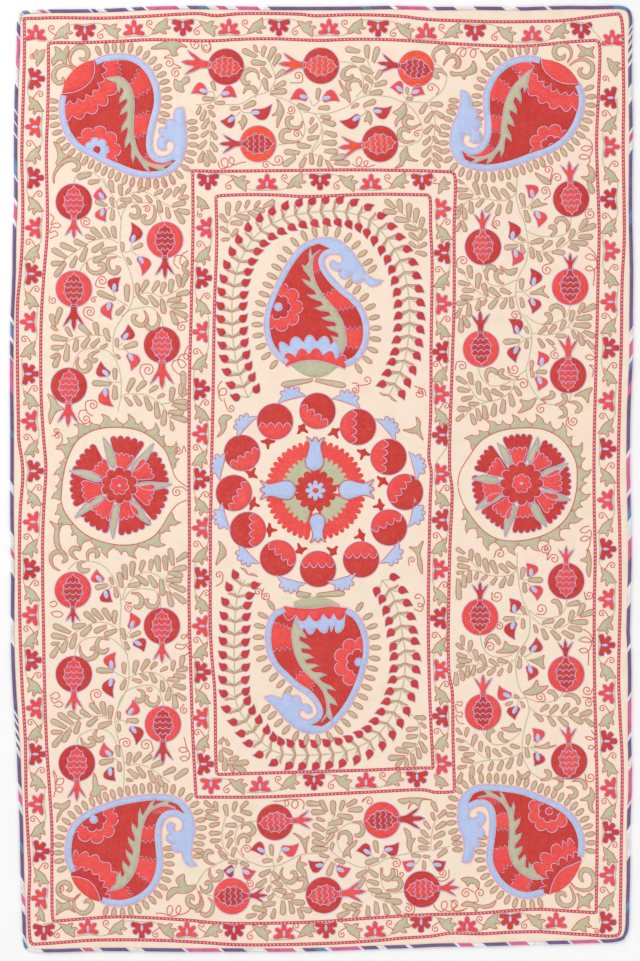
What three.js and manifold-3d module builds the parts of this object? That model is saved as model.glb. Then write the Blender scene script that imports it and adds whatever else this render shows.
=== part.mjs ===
// A suzani: a rectangular embroidered cloth, laid flat, its edge bound with four strips of striped cloth.
// Millimetres, +X across, +Y towards the top of the cloth, +Z up. The origin is under the middle of the
// cloth, on the surface that it lies on.
import * as THREE from "three";
import { mergeVertices } from "three/addons/utils/BufferGeometryUtils.js";
import Module from "manifold-3d";

const wasm = await Module();
wasm.setup();

// Driving dimensions.
const HALF_WIDTH = 501.5; // from the middle to the furthest point of the left and right edges
const HALF_LENGTH = 761.5; // from the middle to the furthest point of the top and bottom edges
const CLOTH_THICKNESS = 1.2; // ground cloth with its backing stitches
const BINDING_LAYER = 0.7; // one layer of the binding, with its seam allowance pressed inside
const BINDING_WIDTH = 5.5; // how far the binding covers the cloth, in from the outer edge
const FIT = 0.3; // free space between the cloth and the binding that is folded round it
const STEP = 36; // the spacing of the cloth's grid and of the binding's sections

// The slot between the binding's two layers, and where the cloth lies in it.
const SLOT_DEPTH = BINDING_LAYER + FIT;
const CLOTH_LIFT = BINDING_LAYER + FIT;
const BINDING_HEIGHT = 2 * BINDING_LAYER + 2 * FIT + CLOTH_THICKNESS;
const FOLD_CHAMFER = 0.5; // the binding's outer edge is a soft fold
const LIFT_ENDS = 30; // this far in from the edge the cloth has come down to the surface
const STRIP_GAP = 0.3; // between the ends of two strips at a corner

// How far each edge draws in from the furthest line, because the stitching pulls the cloth unevenly.
// "along" is measured from the middle of the edge: towards +X on the top and bottom, +Y on the sides.
const TOP_EDGE = [
  { along: -437, inset: 6.4 },
  { along: -373, inset: 6 },
  { along: -324, inset: 4.3 },
  { along: -276, inset: 1.6 },
  { along: -196, inset: 0.3 },
  { along: -115, inset: 1.6 },
  { along: 46, inset: 1.6 },
  { along: 126, inset: 0.3 },
  { along: 175, inset: 2.1 },
  { along: 255, inset: 1.6 },
  { along: 336, inset: 2.4 },
  { along: 384, inset: 0.3 },
  { along: 448, inset: 0.8 },
];
const BOTTOM_EDGE = [
  { along: -421, inset: 0 },
  { along: -373, inset: 1.6 },
  { along: -308, inset: 1.6 },
  { along: -228, inset: 0.8 },
  { along: -131, inset: 0.8 },
  { along: -67, inset: 0.5 },
  { along: -2, inset: 1.6 },
  { along: 46, inset: 3.2 },
  { along: 94, inset: 5.2 },
  { along: 142, inset: 6.4 },
  { along: 191, inset: 8.9 },
  { along: 255, inset: 9.3 },
  { along: 320, inset: 11.6 },
  { along: 384, inset: 12.9 },
  { along: 432, inset: 14.5 },
];
const RIGHT_EDGE = [
  { along: -678, inset: 6 },
  { along: -630, inset: 4.8 },
  { along: -565, inset: 4.8 },
  { along: -517, inset: 3.2 },
  { along: -485, inset: 1.6 },
  { along: -420, inset: 3.2 },
  { along: -291, inset: 3.2 },
  { along: -243, inset: 5.6 },
  { along: -195, inset: 4 },
  { along: -130, inset: 2.7 },
  { along: -66, inset: 3.2 },
  { along: -2, inset: 5.2 },
  { along: 63, inset: 5.3 },
  { along: 127, inset: 4 },
  { along: 192, inset: 0.8 },
  { along: 256, inset: 0.8 },
  { along: 336, inset: 0 },
  { along: 417, inset: 1.6 },
  { along: 497, inset: 1.6 },
  { along: 562, inset: 0.8 },
  { along: 626, inset: 2.4 },
  { along: 690, inset: 2.4 },
];
const LEFT_EDGE = [
  { along: -702, inset: 20.1 },
  { along: -662, inset: 18.5 },
  { along: -613, inset: 16.9 },
  { along: -565, inset: 16.1 },
  { along: -501, inset: 13.7 },
  { along: -436, inset: 11.3 },
  { along: -388, inset: 8 },
  { along: -340, inset: 4.8 },
  { along: -291, inset: 2.4 },
  { along: -227, inset: 1.6 },
  { along: -146, inset: 2.1 },
  { along: -66, inset: 0.8 },
  { along: 79, inset: 0.8 },
  { along: 159, inset: 0 },
  { along: 224, inset: 0.6 },
  { along: 272, inset: 1.6 },
  { along: 320, inset: 3.9 },
  { along: 401, inset: 4.8 },
  { along: 449, inset: 7.2 },
  { along: 506, inset: 6.4 },
  { along: 570, inset: 6.9 },
  { along: 626, inset: 8 },
  { along: 690, inset: 11 },
];

// The four corners before they are rounded, and the radius that the binding turns with at each.
const CORNERS = {
  bottomRight: { x: 493.5, y: -745, radius: 19 },
  topRight: { x: 499.5, y: 761, radius: 17 },
  topLeft: { x: -489, y: 753, radius: 11 },
  bottomLeft: { x: -479.5, y: -761, radius: 13 },
};

// The soft ridges in which the laid cloth stands clear of the surface, as the stitching puckers it.
// "turn" is the ridge's direction in degrees from +X; length, width and height are its full sizes.
const RIDGES = [
  { x: -330, y: 700, turn: 4, length: 520, width: 150, height: 1.6 },
  { x: 330, y: 640, turn: -6, length: 460, width: 160, height: 2.0 },
  { x: 90, y: 610, turn: 78, length: 300, width: 130, height: 1.4 },
  { x: -430, y: 330, turn: 86, length: 520, width: 140, height: 1.8 },
  { x: 420, y: 220, turn: 94, length: 560, width: 150, height: 2.0 },
  { x: -120, y: 300, turn: 18, length: 360, width: 140, height: 1.3 },
  { x: 150, y: 60, turn: 64, length: 420, width: 150, height: 1.5 },
  { x: -210, y: -90, turn: -8, length: 480, width: 130, height: 1.6 },
  { x: -440, y: -420, turn: 98, length: 480, width: 150, height: 2.0 },
  { x: 430, y: -330, turn: 88, length: 520, width: 140, height: 1.7 },
  { x: 110, y: -330, turn: -24, length: 420, width: 140, height: 1.4 },
  { x: -180, y: -560, turn: 70, length: 320, width: 130, height: 1.3 },
  { x: 260, y: -690, turn: 3, length: 520, width: 150, height: 1.9 },
  { x: -310, y: -700, turn: -5, length: 420, width: 150, height: 1.5 },
];
const LYING_SHARE = 0.45; // ridges lower than this, in mm, lie flat on the surface

// A smooth curve through an edge's stations, from corner to corner, as a function of the place along it.
function edgeCurve(stations, furthest, startCorner, endCorner) {
  const points = stations.map(({ along, inset }) => new THREE.Vector3(along, furthest - inset, 0));
  points.unshift(new THREE.Vector3(startCorner.along, startCorner.out, 0));
  points.push(new THREE.Vector3(endCorner.along, endCorner.out, 0));
  const curve = new THREE.CatmullRomCurve3(points, false, "centripetal");
  const dense = curve.getPoints(points.length * 12);
  return (along) => {
    let i = 1;
    while (i < dense.length - 1 && dense[i].x < along) i += 1;
    const a = dense[i - 1];
    const b = dense[i];
    return THREE.MathUtils.lerp(a.y, b.y, (along - a.x) / (b.x - a.x));
  };
}

const { bottomRight, topRight, topLeft, bottomLeft } = CORNERS;
const topAt = edgeCurve(
  TOP_EDGE,
  HALF_LENGTH,
  { along: topLeft.x, out: topLeft.y },
  { along: topRight.x, out: topRight.y },
);
const bottomAt = edgeCurve(
  BOTTOM_EDGE,
  HALF_LENGTH,
  { along: bottomLeft.x, out: -bottomLeft.y },
  { along: bottomRight.x, out: -bottomRight.y },
);
const rightAt = edgeCurve(
  RIGHT_EDGE,
  HALF_WIDTH,
  { along: bottomRight.y, out: bottomRight.x },
  { along: topRight.y, out: topRight.x },
);
const leftAt = edgeCurve(
  LEFT_EDGE,
  HALF_WIDTH,
  { along: bottomLeft.y, out: -bottomLeft.x },
  { along: topLeft.y, out: -topLeft.x },
);

// How high the cloth's underside stands above the surface at a place, from the ridges alone.
function ridgeHeight(x, y) {
  let sum = 0;
  for (const ridge of RIDGES) {
    const turn = THREE.MathUtils.degToRad(ridge.turn);
    const dx = x - ridge.x;
    const dy = y - ridge.y;
    const alongRidge = (dx * Math.cos(turn) + dy * Math.sin(turn)) / (ridge.length / 2);
    const acrossRidge = (dy * Math.cos(turn) - dx * Math.sin(turn)) / (ridge.width / 2);
    sum += ridge.height * Math.exp(-(alongRidge ** 2) - acrossRidge ** 2);
  }
  return Math.max(0, sum - LYING_SHARE);
}

// Places from one end of an edge to the other: close together at the ends, a step apart between.
function spacedPlaces(from, to, nearEnds) {
  const start = from + nearEnds[nearEnds.length - 1];
  const end = to - nearEnds[nearEnds.length - 1];
  const count = Math.round((end - start) / STEP);
  const places = nearEnds.map((d) => from + d);
  for (let i = 1; i < count; i += 1) places.push(start + ((end - start) * i) / count);
  for (const d of [...nearEnds].reverse()) places.push(to - d);
  return places;
}

// A closed geometry from rings that all carry the same section, each joined to the next, both ends capped.
function sweptGeometry(rings, section) {
  const size = section.length;
  const position = rings.flat(2);
  const index = [];
  for (let r = 0; r + 1 < rings.length; r += 1) {
    for (let k = 0; k < size; k += 1) {
      const a = r * size + k;
      const b = r * size + ((k + 1) % size);
      index.push(a, b + size, b, a, a + size, b + size);
    }
  }
  const flat = section.map((corner) => new THREE.Vector2(corner.inward, corner.z));
  const last = (rings.length - 1) * size;
  for (const [a, b, c] of THREE.ShapeUtils.triangulateShape(flat, [])) {
    index.push(a, c, b, last + a, last + b, last + c);
  }
  const geometry = new THREE.BufferGeometry();
  geometry.setAttribute("position", new THREE.Float32BufferAttribute(position, 3));
  geometry.setIndex(index);
  return geometry;
}

// The closed outer outline of the bound cloth, anticlockwise from the middle of the bottom right corner.
// The arc at each corner is three points, and "turns" says which point of the curve is each arc's middle.
function outerOutline() {
  const points = [];
  const turns = [];
  const side = (stations, place) => stations.forEach((s) => points.push(place(s.along)));
  const arc = (corner, startAngle) => {
    const cx = corner.x - Math.sign(corner.x) * corner.radius;
    const cy = corner.y - Math.sign(corner.y) * corner.radius;
    [0, 45, 90].forEach((turned, i) => {
      const angle = THREE.MathUtils.degToRad(startAngle + turned);
      if (i === 1) turns.push(points.length);
      points.push(
        new THREE.Vector3(cx + corner.radius * Math.cos(angle), cy + corner.radius * Math.sin(angle), 0),
      );
    });
  };
  const backwards = (stations) => [...stations].reverse();
  arc(bottomRight, -90);
  side(RIGHT_EDGE, (y) => new THREE.Vector3(rightAt(y), y, 0));
  arc(topRight, 0);
  side(backwards(TOP_EDGE), (x) => new THREE.Vector3(x, topAt(x), 0));
  arc(topLeft, 90);
  side(backwards(LEFT_EDGE), (y) => new THREE.Vector3(-leftAt(y), y, 0));
  arc(bottomLeft, 180);
  side(BOTTOM_EDGE, (x) => new THREE.Vector3(x, -bottomAt(x), 0));
  const curve = new THREE.CatmullRomCurve3(points, true, "centripetal");
  return { curve, turns: turns.map((i) => i / points.length) };
}

const outline = outerOutline();

// A point of the outline, and the unit direction from it into the cloth.
function outlineFrame(t) {
  const wrapped = ((t % 1) + 1) % 1;
  const point = outline.curve.getPoint(wrapped);
  const tangent = outline.curve.getTangent(wrapped);
  return { point, inward: new THREE.Vector3(-tangent.y, tangent.x, 0).normalize() };
}

// The sections along one strip of the binding, between two corners: where each is and which way is in.
function stripSections(from, to) {
  const DENSE_STEPS = 2000;
  const NEAR_A_CORNER = [STRIP_GAP / 2, 4, 8, 12, 16, 24];
  const end = to > from ? to : to + 1;
  const dense = [];
  for (let i = 0; i <= DENSE_STEPS; i += 1) dense.push(outlineFrame(from + ((end - from) * i) / DENSE_STEPS));
  const lengths = [0];
  for (let i = 1; i < dense.length; i += 1) {
    lengths.push(lengths[i - 1] + dense[i - 1].point.distanceTo(dense[i].point));
  }
  return spacedPlaces(0, lengths[DENSE_STEPS], NEAR_A_CORNER).map((place) => {
    let i = 1;
    while (i < DENSE_STEPS && lengths[i] < place) i += 1;
    const share = (place - lengths[i - 1]) / (lengths[i] - lengths[i - 1]);
    const point = dense[i - 1].point.clone().lerp(dense[i].point, share);
    const inward = dense[i - 1].inward.clone().lerp(dense[i].inward, share).normalize();
    return { point, inward };
  });
}

const [atBottomRight, atTopRight, atTopLeft, atBottomLeft] = outline.turns;
const STRIPS = {
  binding_right: stripSections(atBottomRight, atTopRight),
  binding_top: stripSections(atTopRight, atTopLeft),
  binding_left: stripSections(atTopLeft, atBottomLeft),
  binding_bottom: stripSections(atBottomLeft, atBottomRight),
};

// One strip of the binding, folded round the cloth's edge.
function bindingStrip(sections) {
  const top = BINDING_HEIGHT;
  const fold = [
    { inward: FOLD_CHAMFER, z: 0 },
    { inward: 0, z: FOLD_CHAMFER },
    { inward: 0, z: top - FOLD_CHAMFER },
    { inward: FOLD_CHAMFER, z: top },
    { inward: BINDING_WIDTH, z: top },
    { inward: BINDING_WIDTH, z: top - BINDING_LAYER },
    { inward: BINDING_LAYER, z: top - BINDING_LAYER },
    { inward: BINDING_LAYER, z: BINDING_LAYER },
    { inward: BINDING_WIDTH, z: BINDING_LAYER },
    { inward: BINDING_WIDTH, z: 0 },
  ];
  const rings = sections.map(({ point, inward }) =>
    fold.map((corner) => {
      const x = point.x + inward.x * corner.inward;
      const y = point.y + inward.y * corner.inward;
      return [x, y, corner.z + ridgeHeight(x, y)];
    }),
  );
  return sweptGeometry(rings, fold);
}

// A closed mesh as a manifold solid, and back again.
function toSolid(geometry) {
  const bare = geometry.clone();
  for (const name of Object.keys(bare.attributes)) if (name !== "position") bare.deleteAttribute(name);
  const merged = mergeVertices(bare, 1e-4);
  return new wasm.Manifold(
    new wasm.Mesh({
      numProp: 3,
      vertProperties: new Float32Array(merged.attributes.position.array),
      triVerts: new Uint32Array(merged.index.array),
    }),
  );
}
function toGeometry(solid) {
  const { vertProperties, triVerts } = solid.getMesh();
  const geometry = new THREE.BufferGeometry();
  geometry.setAttribute("position", new THREE.BufferAttribute(vertProperties, 3));
  geometry.setIndex(new THREE.BufferAttribute(triVerts, 1));
  geometry.computeVertexNormals();
  return geometry;
}

// The ground cloth before its edge is cut: a sheet of even thickness on a grid that follows the four
// edges, lifted at the rim to the middle of the binding's slot. It reaches a little past the cut.
function sheetGeometry() {
  const PAST_THE_CUT = 3;
  const CLEAR_OF_BINDING = BINDING_WIDTH + 1;
  const nearEnds = [-PAST_THE_CUT, CLEAR_OF_BINDING, LIFT_ENDS];
  const columns = spacedPlaces(0, 2 * HALF_WIDTH, nearEnds);
  const rows = spacedPlaces(0, 2 * HALF_LENGTH, nearEnds);
  // A place counted from one far edge is stretched so that both ends follow the real edges.
  const stretch = (place, total, low, high) => {
    const fromLow = low + place;
    const fromHigh = high - (total - place);
    return THREE.MathUtils.lerp(fromLow, fromHigh, THREE.MathUtils.clamp(place / total, 0, 1));
  };
  const liftNear = (place, total) => {
    const inFromEdge = Math.min(place, total - place);
    return 1 - THREE.MathUtils.smoothstep(inFromEdge, CLEAR_OF_BINDING, LIFT_ENDS);
  };
  const position = [];
  for (const thickness of [0, CLOTH_THICKNESS]) {
    for (const row of rows) {
      for (const column of columns) {
        const roughX = column - HALF_WIDTH;
        const roughY = row - HALF_LENGTH;
        const x = stretch(column, 2 * HALF_WIDTH, -leftAt(roughY), rightAt(roughY));
        const y = stretch(row, 2 * HALF_LENGTH, -bottomAt(roughX), topAt(roughX));
        const lift = Math.max(liftNear(column, 2 * HALF_WIDTH), liftNear(row, 2 * HALF_LENGTH));
        position.push(x, y, ridgeHeight(x, y) + CLOTH_LIFT * lift + thickness);
      }
    }
  }
  const across = columns.length;
  const layer = across * rows.length;
  const index = [];
  for (let r = 0; r + 1 < rows.length; r += 1) {
    for (let c = 0; c + 1 < across; c += 1) {
      const a = r * across + c;
      const b = a + 1;
      const d = a + across;
      const e = d + 1;
      index.push(a, e, b, a, d, e);
      index.push(layer + a, layer + b, layer + e, layer + a, layer + e, layer + d);
    }
  }
  const rim = [];
  for (let c = 0; c + 1 < across; c += 1) rim.push(c);
  for (let r = 0; r + 1 < rows.length; r += 1) rim.push(r * across + across - 1);
  for (let c = across - 1; c > 0; c -= 1) rim.push((rows.length - 1) * across + c);
  for (let r = rows.length - 1; r > 0; r -= 1) rim.push(r * across);
  rim.forEach((a, i) => {
    const b = rim[(i + 1) % rim.length];
    index.push(a, b, layer + b, a, layer + b, layer + a);
  });
  const geometry = new THREE.BufferGeometry();
  geometry.setAttribute("position", new THREE.Float32BufferAttribute(position, 3));
  geometry.setIndex(index);
  return geometry;
}

// The block that the sheet's edge is cut with: the same sections, drawn in to the bottom of the slot.
function cuttingBlock() {
  const BLOCK_DEPTH = 20;
  const edge = Object.values(STRIPS)
    .flat()
    .map(({ point, inward }) => point.clone().addScaledVector(inward, SLOT_DEPTH));
  const shape = new THREE.Shape(edge.map(({ x, y }) => new THREE.Vector2(x, y)));
  const block = new THREE.ExtrudeGeometry(shape, { depth: BLOCK_DEPTH, bevelEnabled: false });
  return block.translate(0, 0, -BLOCK_DEPTH / 2);
}

function groundCloth() {
  return toGeometry(toSolid(sheetGeometry()).intersect(toSolid(cuttingBlock())));
}

// Cream cotton ground and the dark, striped cloth of the binding.
const creamCloth = new THREE.MeshStandardMaterial({ color: 0xf7e3cc, roughness: 0.9, metalness: 0 });
const stripedCloth = new THREE.MeshStandardMaterial({ color: 0x7b5b87, roughness: 0.8, metalness: 0 });

const pieces = [{ name: "ground_cloth", geometry: groundCloth(), material: creamCloth }];
for (const [name, sections] of Object.entries(STRIPS)) {
  pieces.push({ name, geometry: bindingStrip(sections), material: stripedCloth });
}

// The drawn-in edges leave the middle of the whole a little off the origin, so it is moved there.
const whole = new THREE.Box3();
for (const { geometry } of pieces) {
  geometry.computeBoundingBox();
  whole.union(geometry.boundingBox);
}
const middle = whole.getCenter(new THREE.Vector3());

const suzani = new THREE.Group();
for (const { name, geometry, material } of pieces) {
  const mesh = new THREE.Mesh(geometry.translate(-middle.x, -middle.y, 0), material);
  mesh.name = name;
  suzani.add(mesh);
}

export default suzani;
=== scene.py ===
"""The looks of a suzani: an embroidered cloth laid flat and seen from straight above.

The needlework is drawn on a chart whose unit is one pixel of the photograph, x to the right and y
down. Stitched patches and lines are built flat in that chart, and then laid on the cloth's surface.
"""

import cmath
import logging
import math
import random
from dataclasses import dataclass, field
from enum import Enum
from functools import partial
from typing import Callable, Optional, Sequence

import bmesh
import bpy
import numpy as np
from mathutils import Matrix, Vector, noise
from mathutils.bvhtree import BVHTree
from mathutils.kdtree import KDTree

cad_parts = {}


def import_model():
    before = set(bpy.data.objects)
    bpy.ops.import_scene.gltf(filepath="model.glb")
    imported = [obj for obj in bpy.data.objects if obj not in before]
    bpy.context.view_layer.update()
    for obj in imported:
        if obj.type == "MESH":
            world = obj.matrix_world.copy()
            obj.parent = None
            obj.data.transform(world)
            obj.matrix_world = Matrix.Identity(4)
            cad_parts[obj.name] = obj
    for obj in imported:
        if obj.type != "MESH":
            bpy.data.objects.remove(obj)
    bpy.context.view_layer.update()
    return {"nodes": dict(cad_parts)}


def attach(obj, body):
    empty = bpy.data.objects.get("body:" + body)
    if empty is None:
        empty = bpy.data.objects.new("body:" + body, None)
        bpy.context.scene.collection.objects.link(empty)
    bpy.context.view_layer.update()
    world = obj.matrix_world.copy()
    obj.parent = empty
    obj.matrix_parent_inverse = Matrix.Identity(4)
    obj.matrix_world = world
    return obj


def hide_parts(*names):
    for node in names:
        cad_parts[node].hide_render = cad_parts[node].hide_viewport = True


Point = complex
Curve = list[Point]
Colour = tuple[float, float, float, float]

MM = 0.001
WELD = 1e-6
LOG = logging.getLogger("suzani")


# The chart

MM_PER_PX = 1.61
CHART_CENTRE = complex(321.5, 479.0)
PHOTO_CENTRE = complex(320.0, 480.5)
PHOTO_HEIGHT_PX = 961


def on_cloth(p: Point) -> tuple[float, float]:
    """Turns a place on the chart into x and y in metres.

    Args:
        p: the place, in photograph pixels.

    Returns:
        x and y in the row's frame.
    """
    q = (p - CHART_CENTRE) * MM_PER_PX * MM
    return q.real, -q.imag


def charted(text: str) -> Curve:
    """Reads places written as x,y with spaces between them."""
    return [complex(*map(float, pair.split(","))) for pair in text.split()]


def strokes(text: str) -> list[tuple[Point, Point]]:
    """Reads pairs of places written as x,y>x,y with spaces between them."""
    return [(a, b) for a, b in (charted(pair.replace(">", " ")) for pair in text.split())]


def rows_of(text: str) -> list[str]:
    """The lines of a text that aren't empty."""
    return [row for row in text.splitlines() if row.strip()]


# Curves on the chart

LOBE_STEPS = 8


def smooth(points: Sequence[Point], closed: bool = False, step: float = 1.5) -> Curve:
    """Draws a smooth curve through control points.

    Args:
        points: the control points.
        closed: whether the curve returns to its first point.
        step: the distance between the curve's points, in chart pixels.

    Returns:
        The curve's points. A closed curve doesn't repeat its first point.
    """
    pts = list(points)
    if closed:
        pts = [pts[-1], *pts, pts[0], pts[1]]
    else:
        pts = [2 * pts[0] - pts[1], *pts, 2 * pts[-1] - pts[-2]]
    curve: Curve = []
    for a, b, c, d in zip(pts, pts[1:], pts[2:], pts[3:]):
        ta = max(abs(b - a), 1e-6) ** 0.5
        tb = ta + max(abs(c - b), 1e-6) ** 0.5
        tc = tb + max(abs(d - c), 1e-6) ** 0.5
        count = max(1, round(abs(c - b) / step))
        for i in range(count):
            t = ta + (tb - ta) * i / count
            ab = a + (b - a) * t / ta
            bc = b + (c - b) * (t - ta) / (tb - ta)
            cd = c + (d - c) * (t - tb) / (tc - tb)
            abc = ab + (bc - ab) * t / tb
            bcd = bc + (cd - bc) * (t - ta) / (tc - ta)
            curve.append(abc + (bcd - abc) * (t - ta) / (tb - ta))
    if not closed:
        curve.append(points[-1])
    return curve


def tangent(curve: Sequence[Point], i: int) -> Point:
    """The unit direction of a curve at one of its points.

    Args:
        curve: the curve's points.
        i: the index of the point.

    Returns:
        The unit direction.
    """
    a = curve[max(0, i - 1)]
    b = curve[min(len(curve) - 1, i + 1)]
    return (b - a) / max(abs(b - a), 1e-9)


def bearing(way: Point) -> float:
    """A direction as an angle in degrees, clockwise from +x."""
    return math.degrees(cmath.phase(way))


def length_of(curve: Sequence[Point]) -> float:
    """The length of a curve in chart pixels."""
    return sum(abs(b - a) for a, b in zip(curve, curve[1:]))


def along(curve: Sequence[Point], spacing: float, start: float = 0.0) -> list[tuple[Point, Point]]:
    """Steps along a curve.

    Args:
        curve: the curve's points.
        spacing: the distance between two steps.
        start: the distance of the first step from the curve's start.

    Returns:
        A place and a unit direction for each step.
    """
    steps: list[tuple[Point, Point]] = []
    wanted = start
    gone = 0.0
    for a, b in zip(curve, curve[1:]):
        piece = abs(b - a)
        while piece > 0 and wanted <= gone + piece:
            steps.append((a + (b - a) * (wanted - gone) / piece, (b - a) / piece))
            wanted += spacing
        gone += piece
    return steps


def offset(curve: Sequence[Point], distance: Callable[[float], float] | float) -> Curve:
    """Shifts an open curve sideways.

    Args:
        curve: the curve's points.
        distance: how far to the right of its direction as drawn, or a function of the share gone.

    Returns:
        The shifted curve.
    """
    last = max(1, len(curve) - 1)
    shifted: Curve = []
    for i, p in enumerate(curve):
        far = distance(i / last) if callable(distance) else distance
        shifted.append(p + tangent(curve, i) * 1j * far)
    return shifted


def nearest(curve: Sequence[Point], p: Point) -> int:
    """The index of the curve's point that is nearest to a place."""
    return min(range(len(curve)), key=lambda i: abs(curve[i] - p))


def section(curve: Sequence[Point], p: Point, q: Point) -> Curve:
    """The stretch of a curve between the points nearest to two places, from the first to the second."""
    i, j = nearest(curve, p), nearest(curve, q)
    return list(curve[i : j + 1]) if i <= j else list(curve[j : i + 1])[::-1]


def arc(centre: Point, rx: float, ry: float, start: float, sweep: float, count: int = 24) -> Curve:
    """An arc of an ellipse.

    Args:
        centre: its centre.
        rx: its radius along x.
        ry: its radius along y.
        start: the first angle in degrees, clockwise from +x as drawn.
        sweep: the angle that it covers in degrees.
        count: how many stretches it is drawn with.

    Returns:
        The arc's points.
    """
    curve: Curve = []
    for i in range(count + 1):
        a = math.radians(start + sweep * i / count)
        curve.append(centre + complex(rx * math.cos(a), ry * math.sin(a)))
    return curve


def oval(centre: Point, rx: float, ry: float, turn: float = 0.0, count: int = 24) -> Curve:
    """A closed ellipse, turned clockwise by degrees.

    Args:
        centre: its centre.
        rx: its radius along x, before it is turned.
        ry: its radius along y.
        turn: how far it is turned clockwise, in degrees.
        count: how many stretches it is drawn with.

    Returns:
        The outline's points.
    """
    spin = cmath.rect(1, math.radians(turn))
    ring = arc(0, rx, ry, 0, 360, count)[:-1]
    return [centre + p * spin for p in ring]


def lobed(
    centre: Point,
    radius: float,
    lobes: int,
    depth: float = 0.25,
    turn: float = 0.0,
    squash: float = 1.0,
    per_lobe: int = 8,
) -> Curve:
    """A closed flower outline with rounded lobes and sharp notches.

    Args:
        centre: the flower's centre.
        radius: to the end of a lobe.
        lobes: how many there are.
        depth: how deep a notch is, as a share of the radius.
        turn: the direction of the first lobe in degrees, clockwise from +x.
        squash: the height as a share of the width.
        per_lobe: points for each lobe.

    Returns:
        The outline's points.
    """
    ring: Curve = []
    for i in range(lobes * per_lobe):
        a = 2 * math.pi * i / (lobes * per_lobe)
        swell = abs(math.cos(lobes * a / 2)) ** 0.55
        p = cmath.rect(radius * (1 - depth * (1 - swell)), a + math.radians(turn))
        ring.append(centre + complex(p.real, p.imag * squash))
    return ring


def swell(i: int, power: float) -> float:
    """How far a row of lobes swells at step i: 0 in a notch and 1 at the top of a lobe."""
    return abs(math.sin(math.pi * i / LOBE_STEPS)) ** power


def scalloped(curve: Sequence[Point], count: int, bulge: float) -> Curve:
    """Follows a curve in rounded scallops.

    Args:
        curve: the curve through the scallops' notches.
        count: how many scallops it takes.
        bulge: how far each stands out, to the right of the curve as drawn.

    Returns:
        The scalloped edge.
    """
    stops = along(curve, length_of(curve) / (count * LOBE_STEPS) * 0.99999)
    return [p + way * 1j * bulge * swell(i, 0.6) for i, (p, way) in enumerate(stops)]


def lobes_between(p: Point, q: Point, count: int, depth: float) -> Curve:
    """A straight row of lobes from p to q, which swell to the right, or to the left if depth is negative.

    Args:
        p: the row's start.
        q: its end.
        count: how many lobes it has.
        depth: how far a lobe swells to the right, or to the left if it is negative.

    Returns:
        The row's points.
    """
    way = q - p
    out = way / abs(way) * 1j * depth
    last = count * LOBE_STEPS
    return [p + way * i / last + out * swell(i, 0.7) for i in range(last + 1)]


def fan_edge(
    centre: Point, radius: float, start: float, sweep: float, count: int, height: float, power: float = 0.6
) -> Curve:
    """An arc with lobes that bulge away from its centre.

    Args:
        centre: the arc's centre.
        radius: the distance of the notches from it.
        start: the first angle in degrees, clockwise from +x.
        sweep: the angle that it covers in degrees.
        count: how many lobes it has.
        height: how far a lobe stands out.
        power: how blunt a lobe is. A lower power makes it blunter.

    Returns:
        The edge.
    """
    last = count * LOBE_STEPS
    edge: Curve = []
    for i in range(last + 1):
        a = math.radians(start + sweep * i / last)
        edge.append(centre + cmath.rect(radius + height * swell(i, power), a))
    return edge


def zigzag(p: Point, q: Point, teeth: int, height: float) -> Curve:
    """A zigzag from one place to another.

    Args:
        p: its start.
        q: its end.
        teeth: how many teeth it has.
        height: its whole width.

    Returns:
        The zigzag's points.
    """
    way = (q - p) / abs(q - p)
    points = [p]
    for i in range(1, 2 * teeth):
        side = height / 2 if i % 2 else -height / 2
        points.append(p + (q - p) * i / (2 * teeth) + way * 1j * side)
    points.append(q)
    return points


def two_sided(
    base: Point, tip: Point, count: int, half: Callable[[float], float], bend: Callable[[float], float]
) -> Curve:
    """A closed outline with two sides, round the way from one place to another.

    Args:
        base: where it starts.
        tip: where it ends.
        count: how many stretches each side is drawn with.
        half: half its width, at a share of its length.
        bend: how far its middle is pushed to the right there.

    Returns:
        The outline's points.
    """
    way = tip - base
    right = way / abs(way) * 1j
    one: Curve = []
    other: Curve = []
    for i in range(count + 1):
        t = i / count
        spine = base + way * t + right * bend(t)
        one.append(spine + right * half(t))
        other.append(spine - right * half(t))
    return one + other[-2:0:-1]


def leaf(base: Point, tip: Point, width: float, bend: float = 0.0, fullest: float = 0.5) -> Curve:
    """A plain leaf, pointed at both ends.

    Args:
        base: its base.
        tip: its tip.
        width: at its widest.
        bend: how far its middle is pushed to the right of the way from base to tip.
        fullest: where it is widest, as a share of its length.

    Returns:
        The closed outline.
    """
    power = math.log(0.5) / math.log(fullest)
    return two_sided(
        base, tip, max(5, round(abs(tip - base) / 1.8)),
        lambda t: width / 2 * math.sin(math.pi * t**power) ** 0.8,
        lambda t: bend * math.sin(math.pi * t),
    )


def petal(base: Point, tip: Point, width: float) -> Curve:
    """A petal with a narrow base and a round end.

    Args:
        base: its base.
        tip: its tip.
        width: a little over its greatest width.

    Returns:
        The closed outline.
    """
    return two_sided(
        base, tip, max(6, round(abs(tip - base) / 1.4)),
        lambda t: width * 0.63 * (0.4 + 0.6 * t) * (1 - t**6) ** 0.5,
        lambda t: 0.0,
    )


def placed(form: Sequence[Point], base: Point, tip: Point, flip: bool = False) -> Curve:
    """Puts a form that was drawn from 0 to 1 between two places of the chart.

    Args:
        form: the form's points, with its base at 0 and its tip at 1.
        base: where its base goes.
        tip: where its tip goes.
        flip: whether it is turned over about its own axis.

    Returns:
        The placed points.
    """
    way = tip - base
    return [base + way * (p.conjugate() if flip else p) for p in form]


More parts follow.
